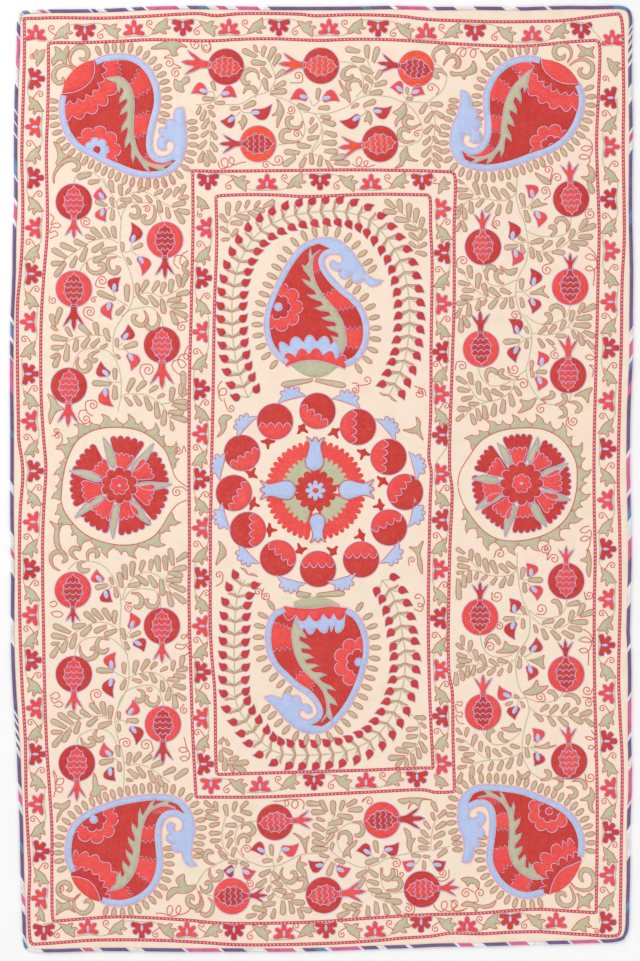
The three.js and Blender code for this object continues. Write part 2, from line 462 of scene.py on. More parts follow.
def cornered(runs: Sequence[Sequence[Point]], step: float = 1.3) -> Curve:
    """A closed outline from runs of control points, smooth in each run and sharp where two meet.

    Args:
        runs: the control points of each run.
        step: the distance between the outline's points.

    Returns:
        The outline's points.
    """
    outline: Curve = []
    for i, run in enumerate(runs):
        following = runs[(i + 1) % len(runs)][0]
        outline += smooth([*run, following], step=step)[:-1]
    return outline


# Threads and finishes


def linear(hex_colour: str) -> Colour:
    """Turns an sRGB hex colour into the linear colour that a shader takes.

    Args:
        hex_colour: a hash sign and six digits.

    Returns:
        The linear colour, with an alpha of 1.
    """
    parts = [int(hex_colour[i : i + 2], 16) / 255 for i in (1, 3, 5)]
    flat = [c / 12.92 if c <= 0.04045 else ((c + 0.055) / 1.055) ** 2.4 for c in parts]
    return (*flat, 1.0)


@dataclass(frozen=True)
class Yarn:
    """A dyed thread, as it looks when it covers the cloth, with a painted highlight and painted shade.

    Attributes:
        name: the material's name.
        colour: its usual colour.
        pale: the colour of the flecks where light catches its strands.
        deep: the colour of the painted shade between its rows.
        rough: its roughness.
        sheen: the weight of its sheen.
    """

    name: str
    colour: str
    pale: str
    deep: str
    rough: float = 0.62
    sheen: float = 0.25


class Thread(Enum):
    """The colours of thread in the needlework."""

    SCARLET = Yarn("scarlet_silk_floss", "#f04e4a", "#fb675f", "#e23f3e")
    CRIMSON = Yarn("crimson_silk_floss", "#cd3832", "#da5048", "#bc2a2b")
    POMEGRANATE = Yarn("orange_red_silk_floss", "#f6553a", "#ff7050", "#e8402c")
    BLUE = Yarn("pale_blue_silk_floss", "#b9caee", "#c9d6f4", "#aabbe4")
    SAGE = Yarn("sage_green_cotton_thread", "#c2c09f", "#cfcdad", "#b2b08e")
    MADDER = Yarn("madder_rose_cotton_thread", "#e0706a", "#ea8d82", "#d05f58", 0.75, 0.1)
    LILAC = Yarn("lilac_cotton_thread", "#c9b7dc", "#dccbe8", "#b7a2cf", 0.75, 0.15)
    ORCHID = Yarn("orchid_pink_cotton_thread", "#e8bcdc", "#f3d3e8", "#d9a3cc", 0.75, 0.15)
    STEM = Yarn("pale_green_cotton_thread", "#c9cba9", "#d6d7b9", "#babd98", 0.75, 0.15)
    ROPE_RED = Yarn("rose_red_twisted_cotton", "#d9475a", "#e7657a", "#c43650", 0.7, 0.2)
    ROPE_WHITE = Yarn("pink_white_twisted_cotton", "#f7d5da", "#fde6e6", "#ebbcc8", 0.7, 0.2)


class NodeSheet:
    """A material's node tree, with one way to add a node."""

    def __init__(self, name: str) -> None:
        """Starts a material with a Principled shader.

        Args:
            name: the material's name.
        """
        self.material = bpy.data.materials.new(name)
        self.material.use_nodes = True
        self.tree = self.material.node_tree
        self.shader = self.tree.nodes["Principled BSDF"]

    def add(
        self,
        kind: str,
        settings: Optional[dict] = None,
        values: Optional[dict] = None,
        links: Optional[dict] = None,
    ) -> bpy.types.Node:
        """Adds a node with its settings, its socket values and its links.

        Args:
            kind: the node's type name.
            settings: properties of the node.
            values: socket to value.
            links: socket to the output that feeds it.

        Returns:
            The new node.
        """
        node = self.tree.nodes.new(kind)
        for key, value in (settings or {}).items():
            setattr(node, key, value)
        for key, value in (values or {}).items():
            node.inputs[key].default_value = value
        for key, output in (links or {}).items():
            self.tree.links.new(output, node.inputs[key])
        return node

    def feed(self, socket: str, output: bpy.types.NodeSocket) -> None:
        """Links an output to one of the shader's sockets."""
        self.tree.links.new(output, self.shader.inputs[socket])


@dataclass(frozen=True)
class FlossFinish:
    """Floss laid in close rows: soft streaks of painted highlight and painted shade along the rows, and a
    slight groove between two rows.

    Attributes:
        row_mm: the width of a row. A real one is about 1.5 mm, and it is drawn coarser so that it shows.
        fleck_mm: the length of a painted fleck of highlight and shade along the thread.
        groove: the strength of the relief.
    """

    row_mm: float = 3.2
    fleck_mm: float = 9.0
    groove: float = 0.35

    def dress(self, yarn: Yarn) -> bpy.types.Material:
        """Makes the material for one colour of floss.

        Args:
            yarn: the thread.

        Returns:
            The material.
        """
        sheet = NodeSheet(yarn.name)
        rows = sheet.add("ShaderNodeUVMap", {"uv_map": "rows"})
        tone = sheet.add("ShaderNodeAttribute", {"attribute_name": "tone"})
        stretched = sheet.add(
            "ShaderNodeMapping",
            values={"Scale": (1 / (self.fleck_mm * MM), 1 / (self.row_mm * MM * 0.6), 1)},
            links={"Vector": rows.outputs["UV"]},
        )
        flecks = sheet.add(
            "ShaderNodeTexNoise",
            values={"Scale": 1.0, "Detail": 3.0, "Roughness": 0.65},
            links={"Vector": stretched.outputs["Vector"]},
        )
        place = sheet.add("ShaderNodeTexCoord")
        # Broad patches that shift the floss's colour between painted shade and painted highlight.
        sheen_and_shade_patches = sheet.add(
            "ShaderNodeTexNoise",
            values={"Scale": 38.0, "Detail": 4.0, "Roughness": 0.6},
            links={"Vector": place.outputs["Object"]},
        )
        both = sheet.add(
            "ShaderNodeMath",
            {"operation": "MULTIPLY_ADD"},
            {1: 0.45},
            {0: sheen_and_shade_patches.outputs["Fac"], 2: flecks.outputs["Fac"]},
        )
        shifted = sheet.add(
            "ShaderNodeMath",
            {"operation": "ADD"},
            links={0: both.outputs[0], 1: tone.outputs["Fac"]},
        )
        # The ramp paints shade (deep) where the patches, flecks and tone are low, and highlight (pale) where
        # they are high.
        ramp = sheet.add("ShaderNodeValToRGB", links={"Fac": shifted.outputs[0]})
        stops = ramp.color_ramp
        stops.elements[0].position = 0.42
        stops.elements[0].color = linear(yarn.deep)
        stops.elements[1].position = 1.02
        stops.elements[1].color = linear(yarn.pale)
        middle = stops.elements.new(0.70)
        middle.color = linear(yarn.colour)
        sheet.feed("Base Color", ramp.outputs["Color"])
        ripple = sheet.add(
            "ShaderNodeTexWave",
            {"wave_type": "BANDS", "bands_direction": "Y", "wave_profile": "SIN"},
            {"Scale": 1.0, "Distortion": 0.8, "Detail": 1.0},
            {"Vector": sheet.add(
                "ShaderNodeMapping",
                values={"Scale": (60.0, 0.314 / (self.row_mm * MM), 1)},
                links={"Vector": rows.outputs["UV"]},
            ).outputs["Vector"]},
        )
        relief = sheet.add(
            "ShaderNodeMath",
            {"operation": "MULTIPLY_ADD"},
            {1: 0.5},
            {0: flecks.outputs["Fac"], 2: ripple.outputs["Fac"]},
        )
        bump = sheet.add(
            "ShaderNodeBump",
            values={"Strength": self.groove, "Distance": 0.0006},
            links={"Height": relief.outputs[0]},
        )
        sheet.feed("Normal", bump.outputs["Normal"])
        sheet.shader.inputs["Roughness"].default_value = yarn.rough
        sheet.shader.inputs["Specular IOR Level"].default_value = 0.25
        sheet.shader.inputs["Sheen Weight"].default_value = yarn.sheen
        sheet.shader.inputs["Sheen Roughness"].default_value = 0.5
        return sheet.material


@dataclass(frozen=True)
class CottonFinish:
    """Handwoven cream cotton: matt, with thicker threads here and there and a faint unevenness of dye.

    Attributes:
        colour: the usual colour.
        warm: the pinker patches.
        cool: the yellower patches.
        slub_mm: the length of a thick stretch of thread.
        thread_mm: the spacing of the threads, drawn coarser than the real 0.5 mm so that it shows.
    """

    colour: str = "#fbe7d3"
    warm: str = "#fadfcc"
    cool: str = "#f4e3c8"
    slub_mm: float = 26.0
    thread_mm: float = 1.9

    def dress(self) -> bpy.types.Material:
        """Makes the ground cloth's material.

        Returns:
            The material.
        """
        sheet = NodeSheet("cream_handwoven_cotton")
        place = sheet.add("ShaderNodeTexCoord").outputs["Object"]
        patches = sheet.add(
            "ShaderNodeTexNoise",
            values={"Scale": 22.0, "Detail": 5.0, "Roughness": 0.62},
            links={"Vector": place},
        )
        ramp = sheet.add("ShaderNodeValToRGB", links={"Fac": patches.outputs["Fac"]})
        stops = ramp.color_ramp
        stops.elements[0].position = 0.34
        stops.elements[0].color = linear(self.cool)
        stops.elements[1].position = 0.68
        stops.elements[1].color = linear(self.warm)
        stops.elements.new(0.5).color = linear(self.colour)
        sheet.feed("Base Color", ramp.outputs["Color"])
        long, short = 1 / (self.slub_mm * MM), 1 / (self.thread_mm * MM)
        threads = [
            sheet.add(
                "ShaderNodeTexNoise",
                values={"Scale": 1.0, "Detail": 2.0},
                links={"Vector": sheet.add(
                    "ShaderNodeMapping", values={"Scale": scale}, links={"Vector": place}
                ).outputs["Vector"]},
            ).outputs["Fac"]
            for scale in ((long, short, 1), (short, long, 1))
        ]
        weave = sheet.add("ShaderNodeMath", {"operation": "ADD"}, links={0: threads[0], 1: threads[1]})
        bump = sheet.add(
            "ShaderNodeBump",
            values={"Strength": 0.3, "Distance": 0.0005},
            links={"Height": weave.outputs[0]},
        )
        sheet.feed("Normal", bump.outputs["Normal"])
        sheet.shader.inputs["Roughness"].default_value = 0.92
        sheet.shader.inputs["Specular IOR Level"].default_value = 0.15
        return sheet.material


# The cloth

RAY_START_M = 0.05
REST_HEIGHT_M = 0.002


def welded(node: bpy.types.Object) -> bmesh.types.BMesh:
    """A copy of a solid of the frame, with its corners joined.

    Args:
        node: the solid.

    Returns:
        The copy.
    """
    bm = bmesh.new()
    bm.from_mesh(node.data)
    bmesh.ops.remove_doubles(bm, verts=bm.verts, dist=WELD)
    return bm


def piece_of(name: str, bm: bmesh.types.BMesh) -> bpy.types.Object:
    """Makes a piece of a worked mesh and puts it in the scene.

    Args:
        name: the piece's name.
        bm: the worked mesh, which is freed.

    Returns:
        The piece.
    """
    mesh = bpy.data.meshes.new(name)
    bm.to_mesh(mesh)
    bm.free()
    piece = bpy.data.objects.new(name, mesh)
    bpy.context.scene.collection.objects.link(piece)
    return piece


class ClothSurface:
    """The laid cloth's upper face, to set needlework on."""

    def __init__(self, cloth: bpy.types.Object) -> None:
        """Reads the finished cloth.

        Args:
            cloth: the cloth's object.
        """
        mesh = cloth.data
        mesh.calc_loop_triangles()
        corners = [v.co.copy() for v in mesh.vertices]
        self.tree = BVHTree.FromPolygons(corners, [t.vertices[:] for t in mesh.loop_triangles])

    def height(self, x: float, y: float) -> float:
        """The height of the upper face at a place, in metres."""
        hit = self.tree.ray_cast(Vector((x, y, RAY_START_M)), Vector((0, 0, -1)))
        return hit[0].z if hit[0] is not None else REST_HEIGHT_M

    def drape(self, mesh: bpy.types.Mesh) -> None:
        """Raises a flat mesh by the cloth's height under each of its points.

        Args:
            mesh: the flat mesh.
        """
        count = len(mesh.vertices)
        flat = np.empty(count * 3, np.float32)
        mesh.vertices.foreach_get("co", flat)
        points = flat.reshape(-1, 3)
        for p in points:
            p[2] += self.height(float(p[0]), float(p[1]))
        mesh.vertices.foreach_set("co", flat)
        mesh.update()


@dataclass
class GroundCloth:
    """The cream cloth, puckered a little by its stitching.

    Attributes:
        cuts: how often each edge of the frame's sheet is divided.
        pucker_mm: the height of the small puckers.
        pucker_span_mm: their usual width.
        still_mm: how far in from the rim the puckers have died out.
        finish: the cotton.
    """

    cuts: int = 3
    pucker_mm: float = 0.45
    pucker_span_mm: float = 55.0
    still_mm: float = 22.0
    finish: CottonFinish = field(default_factory=CottonFinish)

    def build(self, node: bpy.types.Object) -> bpy.types.Object:
        """Makes the cloth from a copy of its solid.

        Args:
            node: the frame's cloth.

        Returns:
            The finished cloth.
        """
        bm = welded(node)
        bmesh.ops.subdivide_edges(bm, edges=bm.edges, cuts=self.cuts, use_grid_fill=True)
        bm.normal_update()
        self.pucker(bm)
        for f in bm.faces:
            f.smooth = True
        cloth = piece_of("suzani_ground_cloth", bm)
        cloth.data.materials.append(self.finish.dress())
        LOG.info("%s: %d faces", cloth.name, len(cloth.data.polygons))
        return cloth

    def pucker(self, bm: bmesh.types.BMesh) -> None:
        """Raises and lowers the upper face in small soft puckers that die out towards the rim.

        Args:
            bm: the cloth's mesh.
        """
        rim = [v for v in bm.verts if abs(v.normal.z) < 0.9]
        near = KDTree(len(rim))
        for i, v in enumerate(rim):
            near.insert((v.co.x, v.co.y, 0), i)
        near.balance()
        span = self.pucker_span_mm * MM
        for v in bm.verts:
            if v.normal.z < 0.9:
                continue
            away = near.find((v.co.x, v.co.y, 0))[2] / (self.still_mm * MM)
            fade = min(1.0, max(0.0, away - 0.4))
            swell = noise.fractal(Vector((v.co.x / span, v.co.y / span, 3.7)), 1.0, 2.0, 3)
            v.co.z += swell * self.pucker_mm * MM * fade


# The binding


class Stripe(Enum):
    """The dyes of the striped silk."""

    PURPLE = ("purple_striped_silk", "#6f5688")
    PINK = ("pink_striped_silk", "#d6629a")
    BLUE = ("blue_striped_silk", "#5c84b4")
    WHITE = ("white_striped_silk", "#f1e8ee")


@dataclass(frozen=True)
class SilkFinish:
    """Thin silk with dyed warp stripes, whose dye runs a little along the threads.

    Attributes:
        streak_mm: the length of a streak of paler dye.
        thread_mm: the spacing of the ribs, drawn coarser than the real 0.4 mm so that they show.
    """

    streak_mm: float = 14.0
    thread_mm: float = 1.6

    def dress(self, stripe: Stripe) -> bpy.types.Material:
        """Makes the material of one dye.

        Args:
            stripe: the dye.

        Returns:
            The material.
        """
        name, colour = stripe.value
        sheet = NodeSheet(name)
        place = sheet.add("ShaderNodeTexCoord").outputs["Object"]
        streaks = sheet.add(
            "ShaderNodeTexNoise",
            values={"Scale": 1 / (self.streak_mm * MM), "Detail": 4.0, "Roughness": 0.7},
            links={"Vector": place},
        )
        ramp = sheet.add("ShaderNodeValToRGB", links={"Fac": streaks.outputs["Fac"]})
        dark, pale = (tuple(c * share for c in linear(colour)[:3]) + (1.0,) for share in (0.72, 1.0))
        ramp.color_ramp.elements[0].position = 0.3
        ramp.color_ramp.elements[0].color = dark
        ramp.color_ramp.elements[1].position = 0.75
        ramp.color_ramp.elements[1].color = tuple(min(1.0, c * 1.3) for c in pale)
        sheet.feed("Base Color", ramp.outputs["Color"])
        ribs = sheet.add(
            "ShaderNodeTexNoise",
            values={"Scale": 1 / (self.thread_mm * MM), "Detail": 1.0},
            links={"Vector": place},
        )
        bump = sheet.add(
            "ShaderNodeBump",
            values={"Strength": 0.25, "Distance": 0.0004},
            links={"Height": ribs.outputs["Fac"]},
        )
        sheet.feed("Normal", bump.outputs["Normal"])
        sheet.shader.inputs["Roughness"].default_value = 0.5
        sheet.shader.inputs["Sheen Weight"].default_value = 0.3
        return sheet.material


@dataclass
class Binding:
    """The strip of striped silk that is folded over one edge of the cloth.

    Attributes:
        node: the strip's solid in the frame.
        upright: whether it runs along y.
        middle: where the middle of its width is on the chart, along x if it is upright, or else along y.
        lean: the slant of its stripes, as the distance along the edge for each distance across it.
        stripes: start and end on the chart, and the dye, of each stripe. White shows between them.
    """

    node: str
    upright: bool
    middle: float
    lean: float
    stripes: tuple[tuple[float, float, Stripe], ...]

    def place(self, x: float, y: float) -> float:
        """Where the stripe through a point crosses the middle of the edge, on the chart.

        Args:
            x: the point's x in metres.
            y: its y in metres.

        Returns:
            The place along the edge, in chart pixels.
        """
        px = CHART_CENTRE.real + x / (MM_PER_PX * MM)
        py = CHART_CENTRE.imag - y / (MM_PER_PX * MM)
        if self.upright:
            return py - (px - self.middle) * self.lean
        return px - (py - self.middle) * self.lean

    def build(self, node: bpy.types.Object, dyes: dict[Stripe, bpy.types.Material]) -> bpy.types.Object:
        """Makes the strip from a copy of its solid, cut where its stripes change.

        Args:
            node: the frame's strip.
            dyes: the material of each dye.

        Returns:
            The finished strip.
        """
        bm = welded(node)
        low = min(self.place(v.co.x, v.co.y) for v in bm.verts)
        high = max(self.place(v.co.x, v.co.y) for v in bm.verts)
        cuts = {edge for start, end, _ in self.stripes for edge in (start, end) if low < edge < high}
        for cut in sorted(cuts):
            if self.upright:
                point, normal = complex(self.middle, cut), (self.lean, 1.0, 0.0)
            else:
                point, normal = complex(cut, self.middle), (1.0, self.lean, 0.0)
            bmesh.ops.bisect_plane(
                bm,
                geom=bm.verts[:] + bm.edges[:] + bm.faces[:],
                plane_co=(*on_cloth(point), 0.0),
                plane_no=normal,
            )
        order = list(Stripe)
        for f in bm.faces:
            f.smooth = True
            middle_point = f.calc_center_median()
            here = self.place(middle_point.x, middle_point.y)
            found = [dye for start, end, dye in self.stripes if start <= here < end]
            f.material_index = order.index(found[0] if found else Stripe.WHITE)
        strip = piece_of("suzani_" + self.node, bm)
        for stripe in order:
            strip.data.materials.append(dyes[stripe])
        LOG.info("%s: %d faces", strip.name, len(strip.data.polygons))
        return strip


def stripes(purple: str, pink: str, blue: str) -> tuple[tuple[float, float, Stripe], ...]:
    """Reads the start and end of each stripe. A blue stripe may lie within a purple one.

    Args:
        purple: the purple stripes, each as start-end.
        pink: the pink ones.
        blue: the blue ones.

    Returns:
        Start, end and dye of each stripe.
    """
    rows: list[tuple[float, float, Stripe]] = []
    for text, dye in ((blue, Stripe.BLUE), (pink, Stripe.PINK), (purple, Stripe.PURPLE)):
        rows += [(*map(float, pair.split("-")), dye) for pair in text.split()]
    return tuple(rows)


BINDINGS = (
    Binding(
        "binding_top", False, 11.0, 1.2,
        stripes(
            "49-90 92-97 106-129 135-147 192-203 272-395 437-458 478-506 520-549 553-618",
            "39-45 150-182 221-230 240-262 400-431",
            "20-28 203-212 366-374 618-632",
        ),
    ),
    Binding(
        "binding_left", True, 16.0, 1.8,
        stripes(
            "19-30 85-111 113-123 125-135 137-160 180-200 228-325 350-365 400-490 500-540 580-625 650-712 "
            "715-719 722-727 731-735 740-744 750-778 803-867 898-920 936-960",
            "33-65 205-222 367-400 556-563 785-795 882-890",
            "160-177 330-345 437-443 832-840 925-933",
        ),
    ),
    Binding(
        "binding_right", True, 626.0, -1.8,
        stripes(
            "12-35 38-41 45-49 53-58 63-68 72-93 110-138 160-220 232-338 376-390 400-455 500-514 565-590 "
            "610-650 655-700 745-765 811-832 862-905 913-935",
            "142-150 350-365 390-400 460-495 545-565 705-740 775-808",
            "220-232 370-376 514-525 905-913",
        ),
    ),
    Binding(
        "binding_bottom", False, 948.0, 1.2,
        stripes(
            "40-80 100-127 142-182 221-243 302-314 363-379 387-409 414-460 489-513 554-576 610-640",
            "82-92 185-218 264-293 330-360 463-477 515-534 579-607",
            "314-325",
        ),
    ),
)


# Needlework

# The usual width of a line of chain stitch, in chart pixels.
LINE_WIDTH = 0.9


class Needlework:
    """The stitches of one sub-assembly: filled patches, lines and single stitches, made into one piece.

    A patch is a low cushion of floss with a rounded rim. A line is a rounded ridge of chain stitch.
    """

    RIM_MM = 0.75
    SUNK_MM = 0.25
    PILE_MM = 0.5
    LAYER_MM = 0.14
    CELL_MM = 13.0
    CUT_SHIFT = 0.11
    RIM_SHARE = 0.22
    TONE_SPREAD = 0.05
    LINE_SECTION = ((-1.0, -0.35), (-0.5, 0.62), (0.5, 0.62), (1.0, -0.35))
    LINE_HEIGHT_MM = 0.6

    def __init__(self, name: str, seed: int) -> None:
        """Starts an empty piece.

        Args:
            name: the piece's name.
            seed: for the small differences in tone from patch to patch.
        """
        self.name = name
        self.random = random.Random(seed)
        self.threads: list[Thread] = []
        self.solid = bmesh.new()
        self.rows = self.solid.loops.layers.uv.new("rows")
        self.tone = self.solid.verts.layers.float.new("tone")
        self.lines: dict[Thread, list[tuple[Curve, bool, float, float]]] = {}
        self.scrap = bpy.data.meshes.new("scrap_" + name)

    def slot_of(self, thread: Thread) -> int:
        """The material slot of a thread, which is added when it is new.

        Args:
            thread: the thread.

        Returns:
            The index of its slot.
        """
        if thread not in self.threads:
            self.threads.append(thread)
        return self.threads.index(thread)

    def patch(self, outline: Sequence[Point], thread: Thread, layer: int = 0, grain: float = 0.0) -> None:
        """Fills a closed outline with floss.

        Args:
            outline: the outline's points.
            thread: the floss.
            layer: how many patches lie under it.
            grain: the direction of its rows in degrees, clockwise from +x.
        """
        bm = bmesh.new()
        rows = bm.loops.layers.uv.new("rows")
        tone = bm.verts.layers.float.new("tone")
        corners = [bm.verts.new((*on_cloth(p), 0.0)) for p in outline]
        face = bm.faces.new(corners)
        face.normal_update()
        if face.normal.z < 0:
            face.normal_flip()
        area = face.calc_area()
        self.divide(bm)
        rim = min(self.RIM_MM * MM, self.RIM_SHARE * math.sqrt(area))
        bmesh.ops.inset_region(
            bm, faces=bm.faces[:], thickness=rim, use_even_offset=False, use_boundary=True
        )
        top = (self.PILE_MM + layer * self.LAYER_MM) * MM
        shade = self.random.uniform(-self.TONE_SPREAD, self.TONE_SPREAD)
        for v in bm.verts:
            v.co.z = -self.SUNK_MM * MM if v.is_boundary else top
            v[tone] = shade
        bmesh.ops.triangulate(bm, faces=[f for f in bm.faces if len(f.verts) > 4])
        spin = cmath.rect(1, math.radians(grain))
        slot = self.slot_of(thread)
        for f in bm.faces:
            f.smooth = True
            f.material_index = slot
            for loop in f.loops:
                flat = complex(loop.vert.co.x, -loop.vert.co.y) / spin
                loop[rows].uv = (flat.real, flat.imag)
        bm.normal_update()
        folded = [f for f in bm.faces if f.normal.z < 0]
        bmesh.ops.delete(bm, geom=folded, context="FACES")
        bm.to_mesh(self.scrap)
        bm.free()
        self.solid.from_mesh(self.scrap)

    def divide(self, bm: bmesh.types.BMesh) -> None:
        """Cuts a large patch into cells, so that it can follow the cloth.

        Args:
            bm: the flat patch.
        """
        cell = self.CELL_MM * MM
        for axis in (0, 1):
            low = min(v.co[axis] for v in bm.verts)
            high = max(v.co[axis] for v in bm.verts)
            count = int((high - low) / cell)
            if (high - low) < 2 * cell:
                continue
            for i in range(1, count + 1):
                place = low + (high - low) * (i + self.CUT_SHIFT) / (count + 1)
                normal = (1, 0, 0) if axis == 0 else (0, 1, 0)
                point = (place, 0, 0) if axis == 0 else (0, place, 0)
                bmesh.ops.bisect_plane(
                    bm, geom=bm.verts[:] + bm.edges[:] + bm.faces[:], plane_co=point, plane_no=normal
                )

    def line(
        self,
        path: Sequence[Point],
        thread: Thread,
        width: float = LINE_WIDTH,
        closed: bool = False,
        layer: int = 0,
    ) -> None:
        """Works a line of chain stitch.

        Args:
            path: the line's points.
            thread: the thread.
            width: in chart pixels.
            closed: whether it returns to its start.
            layer: how many patches lie under it.
        """
        self.lines.setdefault(thread, []).append((list(path), closed, width, layer))

    def bordered(
        self,
        outline: Sequence[Point],
        fill: Thread,
        edge: Thread,
        layer: int = 0,
        grain: float = 0.0,
        width: float = LINE_WIDTH,
    ) -> None:
        """Fills an outline and works a line round it."""
        self.patch(outline, fill, layer, grain)
        self.line(outline, edge, width, True, layer)

    def ridges(self, thread: Thread) -> None:
        """Turns the lines of one thread into rounded ridges and adds them to the piece.

        Args:
            thread: the thread.
        """
        by_width: dict[float, list[tuple[Curve, bool, float]]] = {}
        for path, closed, width, layer in self.lines[thread]:
            by_width.setdefault(width, []).append((path, closed, layer))
        for width, paths in by_width.items():
            half = width / 2 * MM_PER_PX * MM
            profile = bpy.data.curves.new("section", "CURVE")
            outline = profile.splines.new("POLY")
            outline.points.add(len(self.LINE_SECTION) - 1)
            for point, (across, up) in zip(outline.points, self.LINE_SECTION):
                point.co = (across * half, up * self.LINE_HEIGHT_MM * MM, 0, 1)
            outline.use_cyclic_u = True
            section_object = bpy.data.objects.new("section", profile)
            curve = bpy.data.curves.new("line", "CURVE")
            curve.dimensions = "3D"
            curve.twist_mode = "Z_UP"
            curve.bevel_mode = "OBJECT"
            curve.bevel_object = section_object
            curve.use_fill_caps = True
            for path, closed, layer in paths:
                lift = (self.PILE_MM * (layer > 0) + layer * self.LAYER_MM + 0.25) * MM
                spline = curve.splines.new("POLY")
                spline.points.add(len(path) - 1)
                for point, p in zip(spline.points, path):
                    point.co = (*on_cloth(p), lift, 1)
                spline.use_cyclic_u = closed
            drawn = bpy.data.objects.new("line", curve)
            bpy.context.scene.collection.objects.link(section_object)
            bpy.context.scene.collection.objects.link(drawn)
            evaluated = drawn.evaluated_get(bpy.context.evaluated_depsgraph_get())
            mesh = bpy.data.meshes.new_from_object(evaluated)
            tube = bmesh.new()
            tube.from_mesh(mesh)
            bmesh.ops.remove_doubles(tube, verts=tube.verts, dist=1e-7)
            bmesh.ops.recalc_face_normals(tube, faces=tube.faces)
            tube.to_mesh(mesh)
            tube.free()
            slot = self.slot_of(thread)
            first = len(self.solid.faces)
            self.solid.from_mesh(mesh)
            self.solid.faces.ensure_lookup_table()
            for f in self.solid.faces[first:]:
                f.material_index = slot
                f.smooth = True
                for loop in f.loops:
                    loop[self.rows].uv = (loop.vert.co.x, loop.vert.co.y)
            bpy.data.meshes.remove(mesh)
            for item in (drawn, section_object):
                bpy.data.objects.remove(item)
            for item in (curve, profile):
                bpy.data.curves.remove(item)

    def finish(self, surface: ClothSurface, dyes: dict[Thread, bpy.types.Material]) -> bpy.types.Object:
        """Lays the needlework on the cloth and makes it a piece.

        Args:
            surface: the cloth's surface.
            dyes: the material of each thread.

        Returns:
            The piece.
        """
        for thread in self.lines:
            self.ridges(thread)
        bpy.data.meshes.remove(self.scrap)
        piece = piece_of(self.name, self.solid)
        surface.drape(piece.data)
        for thread in self.threads:
            piece.data.materials.append(dyes[thread])
        LOG.info("%s: %d faces", self.name, len(piece.data.polygons))
        return piece


# Small forms that several parts of the needlework share

RED = {"S": Thread.SCARLET, "C": Thread.CRIMSON, "O": Thread.POMEGRANATE}

# The flowers of the borders. The angle is in degrees, and the rest are shares of the radius.
FLOWER_SPREAD = 104.0
FLOWER_PETALS = (1.32, 1.28, 1.4, 1.28, 1.32)
FLOWER_NOTCH = 0.74
FLOWER_ROOT = 0.42
FLOWER_FOOT = 0.32

# A petal's edge: its place across the petal, and its reach, as shares.
POINTED_PETAL = ((-0.85, 0.6), (-0.5, 0.86), (0.0, 1.0), (0.5, 0.86), (0.85, 0.6))
ROUNDED_PETAL = ((-0.85, 0.66), (-0.6, 0.93), (0.0, 1.0), (0.6, 0.93), (0.85, 0.66))


def fan_flower(work: Needlework, centre: Point, toward: Point, size: float, petals: Thread) -> None:
    """A small flower in side view, with five petals and a blue heart.

    Args:
        work: the piece that it is worked on.
        centre: the middle of the flower.
        toward: the direction in which it opens.
        size: its radius.
        petals: the petals' floss.
    """
    way = toward / abs(toward)
    heart = centre - way * size * FLOWER_ROOT
    edge = POINTED_PETAL if petals is Thread.SCARLET else ROUNDED_PETAL
    outline: Curve = [heart - way * size * FLOWER_FOOT]
    for i, petal_reach in enumerate(FLOWER_PETALS):
        middle = math.radians(-FLOWER_SPREAD + i * FLOWER_SPREAD / 2)
        half = math.radians(FLOWER_SPREAD / 4)
        reach = size * petal_reach
        for share, swell in edge:
            outline.append(heart + way * cmath.rect(reach * swell, middle + half * share))
        if i + 1 < len(FLOWER_PETALS):
            outline.append(heart + way * cmath.rect(size * FLOWER_NOTCH, middle + half))
    work.bordered(outline, petals, Thread.LILAC, 0, bearing(way))
    drop = oval(heart + way * size * 0.16, size * 0.42, size * 0.2, bearing(way), 12)
    work.patch(drop, Thread.BLUE, 1)


# Where a curl's winding ends, in degrees back from the direction of its tail.
CURL_END = 65.0


def curl(work: Needlework, centre: Point, radius: float, turns: float, tail: Sequence[Point]) -> None:
    """Works a curled line in madder thread.

    Args:
        work: the piece that it is worked on.
        centre: the middle of the curl.
        radius: where its winding ends.
        turns: how many times it winds. A negative number winds it the other way.
        tail: the places that it goes through after its winding.
    """
    end = math.radians(bearing(tail[0] - centre) - math.copysign(CURL_END, turns))
    count = max(8, round(abs(turns) * 12))
    curve: Curve = []
    for i in range(count + 1):
        t = i / count
        a = end - 2 * math.pi * turns * (1 - t)
        curve.append(centre + cmath.rect(radius * (0.16 + 0.84 * t), a))
    work.line(curve + smooth([curve[-1], *tail])[1:], Thread.MADDER, 1.0)


# The lobed leaf of the borders, drawn from its base at 0 to its tip at 1.
BORDER_LEAF = (
    (0j, 0.24 - 0.08j, 0.6 - 0.18j, 0.88 - 0.13j),
    (1.12 - 0.12j, 1.0 + 0.08j, 0.9 + 0.16j),
    (0.96 + 0.4j, 0.8 + 0.36j, 0.68 + 0.2j),
    (0.6 + 0.48j, 0.46 + 0.36j, 0.38 + 0.17j),
    (0.26 + 0.15j, 0.12 + 0.08j),
)


def border_leaf(work: Needlework, base: Point, tip: Point, flip: bool) -> None:
    """A lobed sage leaf with a madder edge."""
    outline = cornered([placed(run, base, tip, flip) for run in BORDER_LEAF])
    work.bordered(outline, Thread.SAGE, Thread.MADDER, 0, bearing(tip - base), 1.0)


# The rope lines


